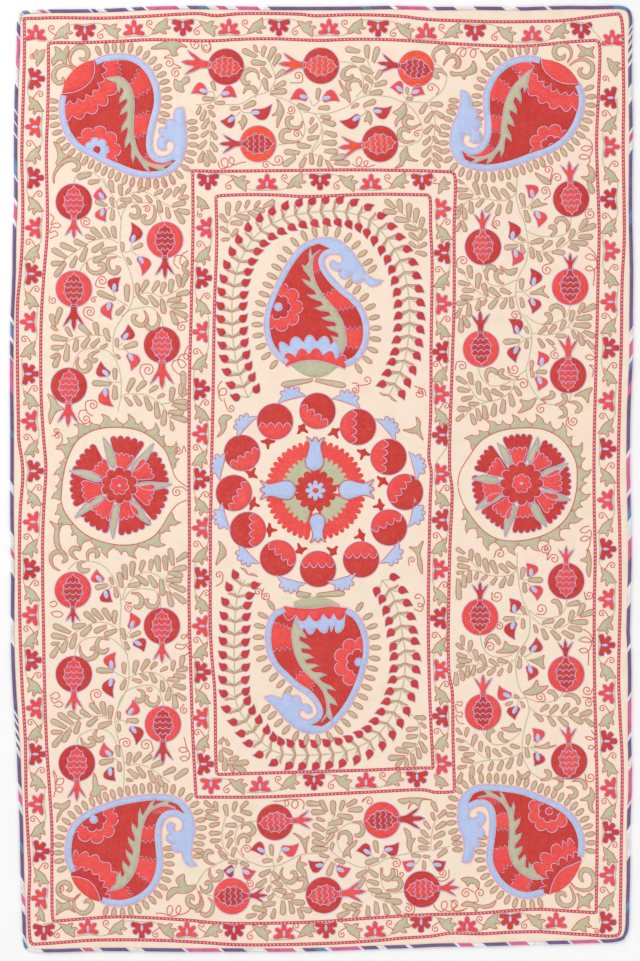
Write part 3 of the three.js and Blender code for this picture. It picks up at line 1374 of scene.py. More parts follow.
@dataclass
class RopeLines:
    """The four lines of red and pale stitches that frame the borders.

    Attributes:
        width: of a line, in chart pixels.
        pitch: from one red stitch to the next.
        lean: the angle of a stitch to its line, in degrees.
        stitch: the width of a pale stitch.
        reach: half its length.
    """

    width: float = 3.15
    pitch: float = 3.7
    lean: float = 38.0
    stitch: float = 1.5
    reach: float = 1.38

    # Each frame: its top, right, bottom and left line.
    FRAMES = (
        """
        23,19.5 40,18.5 60,18 100,18.5 140,17 180,14.5 200,14 215,16 240,14 300,14.5 315,16 350,15 400,16.5 \
        425,19.5 460,21 500,22 540,21.5 560,21 600,16 619,14
        621,18 622.5,30 623,60 623.5,100 623,140 624,240 622,280 621,350 619.5,400 618,480 619.5,530 \
        620,600 619,640 618.5,680 620,720 622,760 622,790 621,850 620,930
        618,934.5 580,934 540,931.5 510,932 480,933.5 450,933 430,936 400,938 380,940 330,943 240,944.5 \
        200,942 160,940 120,939.5 90,940 50,943 33,944
        31,942 29,905 30,870 29,850 26.5,800 25.5,740 22,680 20,620 19.5,560 20.5,510 23,475 22,460 19,440 \
        18.5,420 17.5,340 18,300 20,280 22.5,240 23,200 22,160 23,110 24.5,60 24.5,21
        """,
        """
        49,44 80,43 120,41.5 150,40 213,41 239,39.5 274,39 320,40.5 351,39.5 389,40 426,42 449,43.6 495,46 \
        525,46.3 548,44.4 571,42 596,40.5
        598.5,42 598,100 596.5,140 599,230 598,276 596.6,337 595,398 594,444 594,506 595,552 594,613 \
        594.5,690 596,742 597,794 597,845 596,911
        596,912 580,911.5 540,909 520,909.5 478,913 426,914.5 368,918 317,921.6 248,923.3 213,922.5 190,920 \
        121,916.5 90,918 54,921
        53,919 52,880 52,828 50,794 46.7,742 44.4,674 43.6,628 42.8,582 42.8,536 44.4,498 46,468 43.6,437 \
        41.3,398 41.3,322 44,276 47.4,230 46.5,150 47.5,120 48.5,80 48.5,46
        """,
        """
        191,171.4 213,171.4 290,170.6 351,170 426,171 451,172
        454,174 454,230 454,306 452,368 449.7,470 452,490 449.7,552 449,674 452,690 453,742 454.5,790
        454.5,791 433,792 426,790 368,792 317,794.6 265,796.8 196,797
        196,796 192.7,733 190.5,659 189,598 189.5,552 189,460 189.7,368 191,322 192,276 193,230 192.8,173
        """,
        """
        216,197 236,195 274,195 305,196.6 351,195 381,194.3 427.5,195
        429.5,197 430.6,229 432,260 431,352 430.6,414 429,460 431,470 430,506 428.3,613 429.5,690 433,768
        431,768 426,767.8 368,770 334,771 299,772 218,774.3
        217,773 214.7,690 211,644 210.4,552 211.5,470 213,400 214.5,306 216.8,240 216,199
        """,
    )

    def build(self) -> Needlework:
        """Works the lines stitch by stitch.

        Returns:
            The piece, not yet laid on the cloth.
        """
        work = Needlework("rope_lines", 11)
        for text in self.FRAMES:
            frame_sides = rows_of(text)
            for k, side in enumerate(frame_sides):
                before = charted(frame_sides[k - 1])[-1]
                path = smooth([before, *charted(side)], step=3)
                work.line(path, Thread.ROPE_RED, self.width)
                for place, way in along(path, self.pitch, self.pitch / 2):
                    across = way * cmath.rect(1, math.radians(self.lean))
                    ends = (place - across * self.reach, place + across * self.reach)
                    work.patch(leaf(*ends, self.stitch), Thread.ROPE_WHITE, 3)
        return work


# The borders


@dataclass(frozen=True)
class BorderSide:
    """One side of a border.

    Attributes:
        out: the direction of the cloth's edge from it.
        flowers: the place of each flower and its kind: scarlet and opening outwards is S, inwards s;
            crimson and opening inwards is C, outwards c.
    """

    out: Point
    flowers: str


OUTER_SIDES = (
    BorderSide(-1j, """
        36,33S 85,33C 134,28S 183,28C 229,27S 279,28C 329,27S 378,29C 426,31S 475,33C 532,34S 581,31C 612,38S
    """),
    BorderSide(1 + 0j, """
        608,98C 612,147S 608,199C 612,251S 608,302s 611,348c 606,401s 608,449c 605,500s 608,549c 606,599s
        607,645c 606,693s 609,741c 608,788s 611,832c 607,875s 608,922c
    """),
    BorderSide(1j, """
        44,932c 88,926s 142,930c 187,929s 234,932c 284,931s 326,930c 375,929s 421,924c 467,924s 510,921c
        556,920s
    """),
    BorderSide(-1 + 0j, """
        37,79C 33,127S 36,178C 33,228S 34,274C 28,322S 31,374C 29,421S 36,471C 31,522S 32,569C 30,615S
        34,660C 34,708S 38,754C 36,804S 42,851C 39,898S
    """),
)

INNER_SIDES = (
    BorderSide(-1j, """
        208,182C 267,182S 320,182C 371,182S 422,182C
    """),
    BorderSide(-1 + 0j, """
        204,228S 204,278C 200,332S 202,389C 200,434S 202,479C 200,528S 203,578C 200,626S 203,672C 200,718S
        206,764C
    """),
    BorderSide(1j, """
        211,786S 260,784s 314,782c 366,780s 417,779c
    """),
    BorderSide(1 + 0j, """
        443,209S 442,253C 444,304S 440,352C 442,394S 440,435C 443,474S 440,520C 441,569S 438,618C 442,670S
        440,716C 444,764S
    """),
)


@dataclass
class Border:
    """A border of flowers on a waving vine, with a lobed leaf and a curl in each bay.

    Attributes:
        name: the piece's name.
        seed: for its tones.
        sides: its four sides.
        flower: a flower's radius.
        swing: how far the vine swings to each side.
        vine_width: the vine's width.
        corner_leaves: the leaves in the bays round its corners, from base to tip, and whether they are
            flipped.
    """

    name: str
    seed: int
    sides: tuple[BorderSide, ...]
    flower: float = 8.8
    swing: float = 7.5
    vine_width: float = 0.9
    corner_leaves: tuple[tuple[str, bool], ...] = (
        ("37,67>43,51 607,58>616,74", True), ("40,906>43,920 571,930>588,919", False),
    )

    # How far a flower stands off the vine, and how far along the border the vine swings over on each side
    # of a bay's middle. A bay under the shortest length has neither leaf nor curl.
    STALK = 8.4
    CROSSING = 9.0
    SHORTEST_BAY = 40.0

    # Places in a bay: the distance along the border, and the distance across it on the flower's side.
    LEAF_BASE = (-7.0, 6.5)
    LEAF_TIP = (8.0, -6.5)
    CURL_MIDDLE = (-8.5, -4.5)
    CURL_TAIL = (-3.5, 3.0)
    CURL_RADIUS = 3.8
    CURL_TURNS = 1.25

    def build(self) -> Needlework:
        """Works the four sides.

        Returns:
            The piece, not yet laid on the cloth.
        """
        work = Needlework(self.name, self.seed)
        for side in self.sides:
            tokens = side.flowers.split()
            places = charted(" ".join(token[:-1] for token in tokens))
            kinds = [token[-1] for token in tokens]
            for place, kind in zip(places, kinds):
                toward = side.out if kind in "Sc" else -side.out
                fan_flower(work, place, toward, self.flower, RED[kind.upper()])
            self.vine(work, places, kinds, side.out)
        for text, flip in self.corner_leaves:
            for base, tip in strokes(text):
                border_leaf(work, base, tip, flip)
        return work

    def vine(self, work: Needlework, places: list[Point], kinds: list[str], out: Point) -> None:
        """Works the vine of one side, and a leaf and a curl in each of its bays.

        Args:
            work: the border's piece.
            places: the flowers' places.
            kinds: the flowers' colours.
            out: the direction of the cloth's edge.
        """
        stops: Curve = []
        for i, (place, kind) in enumerate(zip(places, kinds)):
            near = -out if kind in "Sc" else out
            stops.append(place + near * self.STALK)
            if i + 1 == len(places):
                break
            gap = places[i + 1] - place
            middle = place + gap / 2
            run = gap / abs(gap)
            stops.append(middle + near * self.swing - run * self.CROSSING)
            stops.append(middle - near * self.swing + run * self.CROSSING)
            if abs(gap) < self.SHORTEST_BAY:
                continue
            handed = (run.conjugate() * near).imag < 0
            leaf_base, leaf_tip, curl_middle, curl_tail = (
                middle + run * on + near * across
                for on, across in (self.LEAF_BASE, self.LEAF_TIP, self.CURL_MIDDLE, self.CURL_TAIL)
            )
            border_leaf(work, leaf_base, leaf_tip, handed)
            turns = self.CURL_TURNS if handed else -self.CURL_TURNS
            curl(work, curl_middle, self.CURL_RADIUS, turns, [curl_tail])
        work.line(smooth(stops, step=2.2), Thread.STEM, self.vine_width)


# The pomegranates


@dataclass
class Pomegranates:
    """The fruits of the field: a disc with a lobed panel inside, and a crown of three leaves.

    Attributes:
        radius: a fruit's radius.
    """

    radius: float = 18.3

    # Centre, tip of the crown, and the colours of the disc, the panel and the crown.
    FRUITS = (
        (226, 67, 181, 62, "COS"), (321, 66, 278, 64, "COO"), (416, 69, 377, 63, "OCC"),
        (258, 144, 219, 144, "OCC"), (380, 144, 338, 148, "COO"),
        (74, 202, 74, 239, "CSS"), (165, 240, 165, 279, "SCC"), (74, 289, 74, 331, "SCC"),
        (162, 345, 162, 389, "CSS"), (69, 386, 68, 427, "CSS"), (73, 590, 73, 624, "SCC"),
        (162, 626, 162, 663, "CSS"), (74, 674, 74, 712, "CSS"), (163, 724, 163, 764, "SCC"),
        (77, 763, 77, 801, "CSS"),
        (275, 822, 313, 819, "CSS"), (382, 820, 425, 818, "SCC"), (232, 896, 268, 895, "SCC"),
        (324, 895, 366, 891, "CSS"), (422, 889, 459, 887, "CSS"),
        (571, 199, 569, 161, "CSS"), (483, 247, 482, 210, "CSS"), (570, 287, 570, 253, "SCC"),
        (481, 349, 480, 310, "SCC"), (568, 375, 568, 335, "CSS"), (566, 581, 566, 546, "CSS"),
        (480, 617, 480, 581, "SCC"), (566, 674, 565, 639, "SCC"), (483, 712, 483, 674, "SCS"),
        (569, 761, 568, 725, "CSS"),
    )

    # The crown from the fruit at 0 to its middle tip at 1.
    CROWN = (
        (-0.1 - 0.15j, 0.08 - 0.13j, 0.26 - 0.17j, 0.5 - 0.31j),
        (0.82 - 0.47j, 0.66 - 0.27j, 0.5 - 0.14j),
        (0.54 - 0.1j, 0.78 - 0.09j),
        (1 + 0j, 0.78 + 0.09j),
        (0.54 + 0.1j, 0.5 + 0.14j, 0.66 + 0.27j),
        (0.82 + 0.47j, 0.5 + 0.31j, 0.26 + 0.17j, 0.08 + 0.13j),
        (-0.1 + 0.15j, -0.12 + 0j),
    )

    # One side of the panel, from crown to foot: the distance towards the crown, and the distance across.
    PANEL_SIDE = ((17.751, 3.0), (13.0, 5.0), (6.0, 10.5), (-3.0, 10.5), (-11.0, 6.5), (-17.751, 0.0))
    PANEL_LOBES = 5
    PANEL_BULGE = 1.8

    # The scalloped lines across the panel: their distance towards the crown.
    BANDS = (-9.0, -3.4, 2.2, 7.8)
    BAND_REACH = 9.9
    BAND_DEPTH = -2.6

    def build(self) -> Needlework:
        """Works all the fruits.

        Returns:
            The piece, not yet laid on the cloth.
        """
        work = Needlework("pomegranates", 41)
        for x, y, tip_x, tip_y, dyes in self.FRUITS:
            self.fruit(work, complex(x, y), complex(tip_x, tip_y), [RED[d] for d in dyes])
        return work

    def fruit(self, work: Needlework, centre: Point, tip: Point, dyes: list[Thread]) -> None:
        """Works one fruit.

        Args:
            work: the piece.
            centre: the fruit's centre.
            tip: the crown's middle tip.
            dyes: the floss of the disc, the panel and the crown.
        """
        way = (tip - centre) / abs(tip - centre)
        grain = bearing(way)
        disc = oval(centre, self.radius, self.radius, 0, 40)
        work.bordered(disc, dyes[0], Thread.LILAC, 0, grain)
        crown = cornered([placed(run, centre + way * self.radius, tip) for run in self.CROWN])
        work.bordered(crown, dyes[2], Thread.LILAC, 1, grain, 0.8)
        panel: Curve = []
        for sign in (1, -1):
            side = [centre + way * up + way * 1j * sign * out for up, out in self.PANEL_SIDE]
            bow = smooth(side)
            panel += scalloped(bow if sign > 0 else bow[::-1], self.PANEL_LOBES, self.PANEL_BULGE)
        work.bordered(panel, dyes[1], Thread.ORCHID, 1, grain, 0.8)
        for shift in self.BANDS:
            middle = centre + way * shift
            reach = way * 1j * (self.BAND_REACH - abs(shift) * 0.3)
            band = lobes_between(middle - reach, middle + reach, 3, self.BAND_DEPTH)
            work.line(band, Thread.LILAC, layer=2)


# The medallion


@dataclass
class Medallion:
    """The star of the centre panel, with a ring of twelve discs round it.

    Attributes:
        centre: its middle.
        disc_radius: the radius of a disc of the ring.
        bird_reach: half the length of a small bird.
    """

    centre: Point = complex(315.5, 490.5)
    disc_radius: float = 18.2
    bird_reach: float = 6.4

    TULIPS = "314,471.5>315.5,437 317,513>318,542.5 296.5,490>260,490 338,490>374,489"

    # The discs: centre, and the direction of the scarlet part in degrees clockwise from +x.
    DISCS = (
        (317.5, 411, 125), (358, 427, 180), (388.5, 457, 185), (405, 492, 215), (389, 527.5, -115),
        (361, 559.5, -90), (318, 569, -90), (278, 558, -50), (248, 530, 0), (234, 493, 30),
        (242, 453, 60), (275, 421.5, 90),
    )
    BIRDS = (
        (303, 429, 35), (335, 433, 60), (363, 454, 110), (382, 482, 125), (379, 506, 170), (360, 536, 160),
        (332, 551, 215), (300, 549, 250), (271, 530, 0), (254, 504, 20), (252, 473, -60), (268, 443, 90),
    )
    FANS = (
        (291, 395), (348, 399), (389, 427), (417, 465), (416, 514), (393, 555), (343, 582), (290, 584),
        (246, 556), (222, 518), (219, 465), (244, 424),
    )
    TULIP = (
        (0j, 0.1 - 0.2j, 0.28 - 0.27j, 0.5 - 0.22j, 0.75 - 0.17j),
        (1 - 0.27j, 0.93 - 0.14j, 0.86 - 0.1j),
        (0.9 - 0.08j, 0.98 - 0.04j),
        (1 + 0j, 0.98 + 0.04j),
        (0.9 + 0.08j, 0.86 + 0.1j, 0.93 + 0.14j),
        (1 + 0.27j, 0.75 + 0.17j, 0.5 + 0.22j, 0.28 + 0.27j, 0.1 + 0.2j),
    )
    BIRD = (
        (0j, 0.2 - 0.22j),
        (0.3 - 0.62j, 0.5 - 0.5j, 0.58 - 0.2j),
        (1 - 0.08j, 1 + 0.08j, 0.58 + 0.2j, 0.5 + 0.5j),
        (0.3 + 0.62j, 0.2 + 0.22j),
    )

    def build(self) -> Needlework:
        """Works the medallion.

        Returns:
            The piece, not yet laid on the cloth.
        """
        work = Needlework("centre_medallion", 51)
        c = self.centre
        for quarter in range(4):
            middle = -45 + 90 * quarter
            scarlet = fan_edge(c, 46.0, middle - 38, 76, 10, 4.6)
            work.patch([c, *scarlet], Thread.SCARLET, 0, middle)
            sage = fan_edge(c, 30.5, middle - 31, 62, 6, 4.6)
            work.patch([c, *sage], Thread.SAGE, 1, middle)
        work.patch(lobed(c, 21.5, 13, 0.2, -90), Thread.CRIMSON, 2)
        work.patch(lobed(c, 10.5, 8, 0.42, -90), Thread.BLUE, 3)
        work.patch(oval(c, 3.6, 3.0), Thread.SCARLET, 4)
        for base, tip in strokes(self.TULIPS):
            tulip = cornered([placed(run, base, tip) for run in self.TULIP])
            work.bordered(tulip, Thread.BLUE, Thread.MADDER, 3, bearing(tip - base))
        for x, y, turn in self.DISCS:
            self.disc(work, complex(x, y), turn)
        for x, y, turn in self.BIRDS:
            way = cmath.rect(self.bird_reach, math.radians(turn))
            bird = cornered([placed(run, complex(x, y) - way, complex(x, y) + way) for run in self.BIRD])
            work.patch(bird, Thread.CRIMSON, 0, turn)
        for x, y in self.FANS:
            self.outer_fan(work, complex(x, y))
        return work

    def disc(self, work: Needlework, centre: Point, turn: float) -> None:
        """Works one disc of the ring, with its scalloped scarlet part.

        Args:
            work: the piece that it is worked on.
            centre: the disc's centre.
            turn: the direction of its scarlet part, in degrees.
        """
        radius = self.disc_radius
        work.bordered(oval(centre, radius, radius, 0, 40), Thread.CRIMSON, Thread.LILAC, 0, turn, 0.8)
        rim = arc(centre, radius - 0.5, radius - 0.5, turn - 68, 136, 20)
        lobes = lobes_between(rim[-1], rim[0], 4, -5.4)
        work.patch(rim + lobes[1:-1], Thread.SCARLET, 1, turn)
        work.line(lobes, Thread.ORCHID, layer=2)

    def outer_fan(self, work: Needlework, place: Point) -> None:
        """Works one of the blue fans outside the ring.

        Args:
            work: the piece that it is worked on.
            place: the middle of the fan.
        """
        way = (place - self.centre) / abs(place - self.centre)
        base = place - way * 5.2
        edge: Curve = [base - way * 1j * 15.5 - way * 0.2, base - way * 1j * 11.5 + way * 4]
        edge += fan_edge(base, 10.4, bearing(way) - 54, 108, 4, 4.0)
        edge += [base + way * 1j * 11.5 + way * 4, base + way * 1j * 15.5 - way * 0.2]
        edge += [base + way * 1j * 7 + way, base - way * 1j * 7 + way]
        work.bordered(edge, Thread.BLUE, Thread.MADDER, 0, bearing(way))


# The side rosettes


@dataclass(frozen=True)
class RosettePlan:
    """Where one rosette goes, on the chart. Every direction is in degrees clockwise from +x.

    Attributes:
        centre: its middle.
        fans: the directions of the crimson fans.
        fan_half: half the width of such a fan, in degrees.
        petals: the places of the scarlet petals.
        petal_half: half the width of such a petal, in degrees.
        blades: the tips of the sage leaves between the fans.
        heart: the radius and the number of lobes of the crimson flower in the middle.
        rings: the lines of the ring.
        span: the least and the greatest x that its leaves may reach.
    """

    centre: Point
    fans: tuple[float, ...]
    fan_half: float
    petals: str
    petal_half: float
    blades: str
    heart: tuple[float, int]
    rings: tuple[str, ...]
    span: tuple[float, float]


ROSETTES = (
    RosettePlan(
        centre=complex(119.5, 485.5),
        fans=(-80, -24, 25, 70, 125, 175, -142),
        fan_half=21.5,
        petals="123,463 142,472 144,493 127,509 105,508 92,491 104,471",
        petal_half=19.5,
        blades="103,437 154,443 172,484 151,525 113,539 75,518 69,471",
        heart=(18.5, 10),
        rings=(
            "61,500 63,478 68,458 78,440 95,430 119,427.5 140,431 155,440 166,452 171,465 176,478 187,487",
            "187,500 178,504 170,513 163,525 154,536 140,543 120,545 100,541 85,534 72,522 64,510 61,500",
        ),
        span=(50, 186),
    ),
    RosettePlan(
        centre=complex(521.5, 483.5),
        fans=(-95, -45, -3, 38, 83, 128, 172, -146),
        fan_half=18.5,
        petals="518,457 539,463 552,481 546,500 524,508 505,507 493,491 499,470",
        petal_half=17.0,
        blades="497,443 538,437 568,463 571,500 547,527 505,537 475,510 472,479",
        heart=(22.0, 12),
        rings=(
            "458,486 460,472 470,455 482,440 500,431 515,428.5 530,428 545,430 560,438 570,450 576,463 "
            "577,478 576,492 572,507 564,521 550,532 535,538 515,541 498,539 485,532 474,520 463,503",
        ),
        span=(457, 594),
    ),
)


@dataclass
class SideRosettes:
    """The two round flowers at the sides of the field, each in a leafy ring.

    Attributes:
        plans: where each goes.
        reach: the radius of the crimson fans.
        pitch: the length of one leaf of the ring.
    """

    plans: tuple[RosettePlan, ...] = ROSETTES
    reach: float = 46.5
    pitch: float = 21.0

    # The radius of the fans' roots, how far a scarlet petal reaches past its place, and their lobes.
    ROOT = 16.0
    PETAL_OUT = 6.5
    FAN_LOBES = 5
    PETAL_LOBES = 4

    # One leaf of the ring: the distance along the ring, and the distance out from it.
    RING_LEAF = (
        (21 + 0.2j, 19 + 4.4j, 16 + 5.4j),
        (13 + 10j, 12 + 6.4j, 9.5 + 6j, 8 + 7.5j, 7 + 10j),
        (0.5 + 14.5j, 2 + 9.5j, 0 + 5.4j, -2 + 3.8j),
        (-4 + 0.2j, 2 + 0.2j, 8 + 0.2j, 14 + 0.2j),
    )

    def build(self) -> Needlework:
        """Works both flowers and their rings.

        Returns:
            The piece, not yet laid on the cloth.
        """
        work = Needlework("side_rosettes", 61)
        for plan in self.plans:
            self.flower(work, plan)
            for text in plan.rings:
                self.ring(work, plan, smooth(charted(text), len(plan.rings) == 1))
        return work

    def flower(self, work: Needlework, plan: RosettePlan) -> None:
        """Works one flower of five rings.

        Args:
            work: the piece that it is worked on.
            plan: where it goes.
        """
        centre = plan.centre
        for turn in plan.fans:
            fan = self.fan(centre, turn, plan.fan_half, self.ROOT, self.reach, self.FAN_LOBES)
            work.bordered(fan, Thread.CRIMSON, Thread.LILAC, 0, turn, 0.8)
        for tip in charted(plan.blades):
            way = (tip - centre) / abs(tip - centre)
            blade = leaf(centre + way * plan.heart[0], tip, 8.5, 1.5, 0.35)
            work.bordered(blade, Thread.SAGE, Thread.LILAC, 1, bearing(way))
        for place in charted(plan.petals):
            turn = bearing(place - centre)
            outer = abs(place - centre) + self.PETAL_OUT
            root = self.fan(centre, turn, plan.petal_half, plan.heart[0] * 0.7, outer, self.PETAL_LOBES)
            work.patch(root, Thread.SCARLET, 2, turn)
            edge = self.fan(centre, turn, plan.petal_half, plan.heart[0], outer, self.PETAL_LOBES)
            work.line(edge, Thread.ORCHID, 0.8, False, 2)
        radius, lobes = plan.heart
        work.bordered(lobed(centre, radius, lobes, 0.2, -90), Thread.CRIMSON, Thread.ORCHID, 3, 0)
        work.bordered(lobed(centre, 9.5, 7, 0.24, -90), Thread.SCARLET, Thread.ORCHID, 4, 0, 0.8)
        work.patch(oval(centre, 1.9, 1.9, 0, 12), Thread.BLUE, 5)

    def fan(self, centre: Point, turn: float, half: float, inner: float, outer: float, lobes: int) -> Curve:
        """The outline of a fan with a lobed outer edge.

        Args:
            centre: the flower's middle.
            turn: the fan's direction in degrees.
            half: half its width in degrees.
            inner: the radius of its root.
            outer: the radius of the notches between its lobes.
            lobes: how many lobes it has.

        Returns:
            The closed outline.
        """
        foot = [centre + cmath.rect(inner, math.radians(turn + side * half * 0.7)) for side in (-1, 1)]
        return [foot[0], *fan_edge(centre, outer, turn - half, 2 * half, lobes, 3.4, 0.55), foot[1]]

    def ring(self, work: Needlework, plan: RosettePlan, path: Curve) -> None:
        """Works one line of the ring, and the leaves that grow out from it.

        Args:
            work: the piece.
            plan: the rosette's plan.
            path: the line.
        """
        work.line(path, Thread.MADDER, 1.0)
        stations = along(path, 1.0, 0.0)
        form = cornered(self.RING_LEAF, 1.6)
        count = int(len(stations) / self.pitch)
        for k in range(count):
            start = k * len(stations) / count
            for share in (1.0, 0.66):
                outline: Curve = []
                for q in form:
                    reach = min(max(0.0, start + q.real), len(stations) - 1.0)
                    place, way = stations[int(reach)]
                    normal = way * 1j
                    if ((place - plan.centre) * normal.conjugate()).real < 0:
                        normal = -normal
                    outline.append(place + way * (reach - int(reach)) + normal * q.imag * share)
                low, high = min(q.real for q in outline), max(q.real for q in outline)
                if plan.span[0] < low and high < plan.span[1]:
                    work.bordered(outline, Thread.SAGE, Thread.MADDER, 0, 0)
                    break


# The paisleys


@dataclass(frozen=True)
class PaisleyPlan:
    """Where one paisley goes. Every place is on the chart.

    Attributes:
        far: the outer edge on its rounded side, from its foot to the tip of its tail.
        near: the outer edge on its hollow side, from its foot to the eye of its curl.
        head: the lobes of its curled head, from the tail's tip to the eye.
        tip: where the body runs out inside the band.
        heart: a place in the middle of the body.
        spine: the line of its toothed leaf, from foot to tip.
        bars: where each bar of the back ends, on the band and on the leaf.
        first_bar: the colour of the bar at the foot.
        flower: the centre of the flower on its rounded side.
        flower_size: the flower's radius.
        flower_rings: the floss of the flower's middle ring and of its dot.
        rim: the edge of its foot, from the far side to the near side.
        chord: the line across its foot, from the far side to the near side.
        rows: the floss, reach, scallops and bulge of each row that grows from the chord.
        foot: the floss between the rim and the chord.
    """

    far: str
    near: str
    head: str
    tip: Point
    heart: Point
    spine: str
    bars: str
    first_bar: Thread
    flower: Point
    flower_size: float
    flower_rings: tuple[Thread, Thread]
    rim: str
    chord: str
    rows: tuple[tuple[Thread, float, int, float], ...]
    foot: Thread


CORNER_ROWS = ((Thread.SCARLET, 24.0, 7, 7.5), (Thread.CRIMSON, 8.5, 8, 6.5))

CORNER_PAISLEYS = (
    PaisleyPlan(
        far="61,95 59.5,106 60.5,120 66,136 76,148 90,156 103,163 118,170 134,176 150,178 166,175.5 "
        "178,167 184.5,154 187,140 185.5,122 184.5,112 183.5,107.5",
        near="94.5,60 104,56 120,54 133,55.5 146,63.5 155,76 160,92 160,106 157,118 154,130 152.5,142 "
        "153.5,151 158,156 165,156.5 171.5,153 174.5,147.5 173,142.5 169.5,140.5 166.5,142.5 "
        "165.5,146 166.5,149.5",
        head="""
        183.5,107.5 178,108 174.5,112 174,118 176,122.5
        176,122.5 172,119.5 167,120.5 165.5,125 167.5,129
        167.5,129 163,127.5 159,129.5 159.5,134 164,137
        164,137 160,137.5 157.5,142 158.5,148 162,150.5 166.5,149.5
        """,
        tip=complex(176, 160.5),
        heart=complex(110, 130),
        spine="106,79 120,81 128,90 131,104 130.5,118 131,132 134,146 140,158 150,165 162,166.5 "
        "172,163.5",
        bars="119,61>121,79 139,69>130,87 150.5,90>134,99 149.5,112>133.5,117 147,134>134,139 "
        "148,154>143,161",
        first_bar=Thread.SCARLET,
        flower=complex(97, 150),
        flower_size=24.0,
        flower_rings=(Thread.BLUE, Thread.CRIMSON),
        rim="61.5,94 66,80 75,69 86,62 94,60",
        chord="61.5,94 74,92.5 84,88 92,80 95,70 94,60",
        rows=CORNER_ROWS,
        foot=Thread.SCARLET,
    ),
    PaisleyPlan(
        far="580,84 583.5,92 584.5,103 582,116 577,128 570,138 560,147 548,153.5 534,158.5 520,164 "
        "505,168.5 487,171 470,168.5 459,163 452,153 450,140 453,124 459,110 460.5,98 460.5,90.5",
        near="541,58.5 533,56.5 521,56.5 508,61 497,69 489,80 484,93 483.5,108 485,124 484.5,136 "
        "481,144 475,148.5 468,147.5 463,142.5 463,137 466,134 470,135.5 471,139 469.5,141.5",
        head="""
        460.5,90.5 466,92 471,99 471.5,108.5
        471.5,108.5 476,109 478.5,114 475.5,119
        475.5,119 479,120.5 481.5,124 479,128 474,129.5
        474,129.5 479,131 482,136 480,141.5 475,143.5 469.5,141.5
        """,
        tip=complex(461.5, 150),
        heart=complex(535, 120),
        spine="531,70 524,80 515,90 509,102 506,114 504,126 503,138 498,149 489,156 478,158.5 "
        "466,155.5",
        bars="512,67>521,77 500,79>511,88 492,99>505,102 492,115>502,117 491,131>501,132 "
        "489,144>494,148",
        first_bar=Thread.SCARLET,
        flower=complex(552, 147.5),
        flower_size=23.0,
        flower_rings=(Thread.CRIMSON, Thread.BLUE),
        rim="579.5,84 574,75 566,67 553,61 541,59",
        chord="579.5,84 570,84.5 561,83 550,77 543,69 541,59",
        rows=CORNER_ROWS,
        foot=Thread.SCARLET,
    ),
    PaisleyPlan(
        far="71,873 66,860 65.5,845 69,830 77,819 90,810 105,804 120,799 135,796 152,794 168,795 "
        "179,798 188,806 193.5,818 195,830 192.5,845 192,858 197,865",
        near="101,902 110,905 122,906 137,902 148,895 156,886 161,874 163,862 162,848 161,835 163,823 "
        "168,817 175,816 181,819.5 183,825 181.5,830 177,831.5 174,829 175.5,824",
        head="""
        197,865 190,866 184,861 182,851
        182,851 176,852 171.5,849 172,844.5 176,842
        176,842 170,842.5 166.5,839 168,834.5 172,834
        172,834 168,831 167,825.5 170,822 175.5,824
        """,
        tip=complex(185, 813.5),
        heart=complex(110, 850),
        spine="109,890 119,885 128,876 134,864 136.5,851 138,838 141,825 146,814 154,807 166,804.5 "
        "176,807.5",
        bars="132,895>127,887 147,881>137,873 157,860>140,857 155,841>141,842 156,826>143,828 "
        "161,813>153,813",
        first_bar=Thread.SCARLET,
        flower=complex(94, 819),
        flower_size=24.5,
        flower_rings=(Thread.CRIMSON, Thread.BLUE),
        rim="71,876 76,886 85,895 94,900 101,901.5",
        chord="71,876 80,877 90,881 97,890 101,901.5",
        rows=((Thread.SCARLET, 23.0, 7, 7.5), (Thread.CRIMSON, 8.0, 7, 6.0)),
        foot=Thread.SCARLET,
    ),
    PaisleyPlan(
        far="583,857 584.5,842 582,830 576,818 566,808 552,800 540,795 525,789 510,786 492,784.5 "
        "478,785 468,790 460,799 457.5,812 458.5,826 463,838 464,850 462,862",
        near="545,894 535,897 525,898 513,895 502,888 493,877 487,863 487,850 489,835 490,820 488,810 "
        "484,806 477,806 471,809 468.5,814 471,818 475.5,818 478.5,815 476.5,812",
        head="""
        462,862 469,862 473,856 474,848 472,845.5
        472,845.5 478,847 480,842 477,837
        477,837 482,837 484.5,832 482,828 478,826
        478,826 483,824 485.5,818 483,813 476.5,812
        """,
        tip=complex(468, 803),
        heart=complex(535, 840),
        spine="544,878 535,876 525,871 516,862 512,850 512,835 511.5,820 508,808 500,799 490,795.5 "
        "478,796.5",
        bars="528,891>531,880 510,884>519,872 501,872>512,863 495,848>510,846 497,829>509,829 "
        "497,815>505,812 494,803>499,801",
        first_bar=Thread.CRIMSON,
        flower=complex(549, 811),
        flower_size=21.5,
        flower_rings=(Thread.CRIMSON, Thread.SCARLET),
        rim="582,860 578,870 571,881 562,889 549,894.5",
        chord="582,860 573,864 562,869 554,879 549,894.5",
        rows=((Thread.SCARLET, 22.0, 7, 7.5), (Thread.CRIMSON, 8.0, 7, 6.0)),
        foot=Thread.SCARLET,
    ),
)

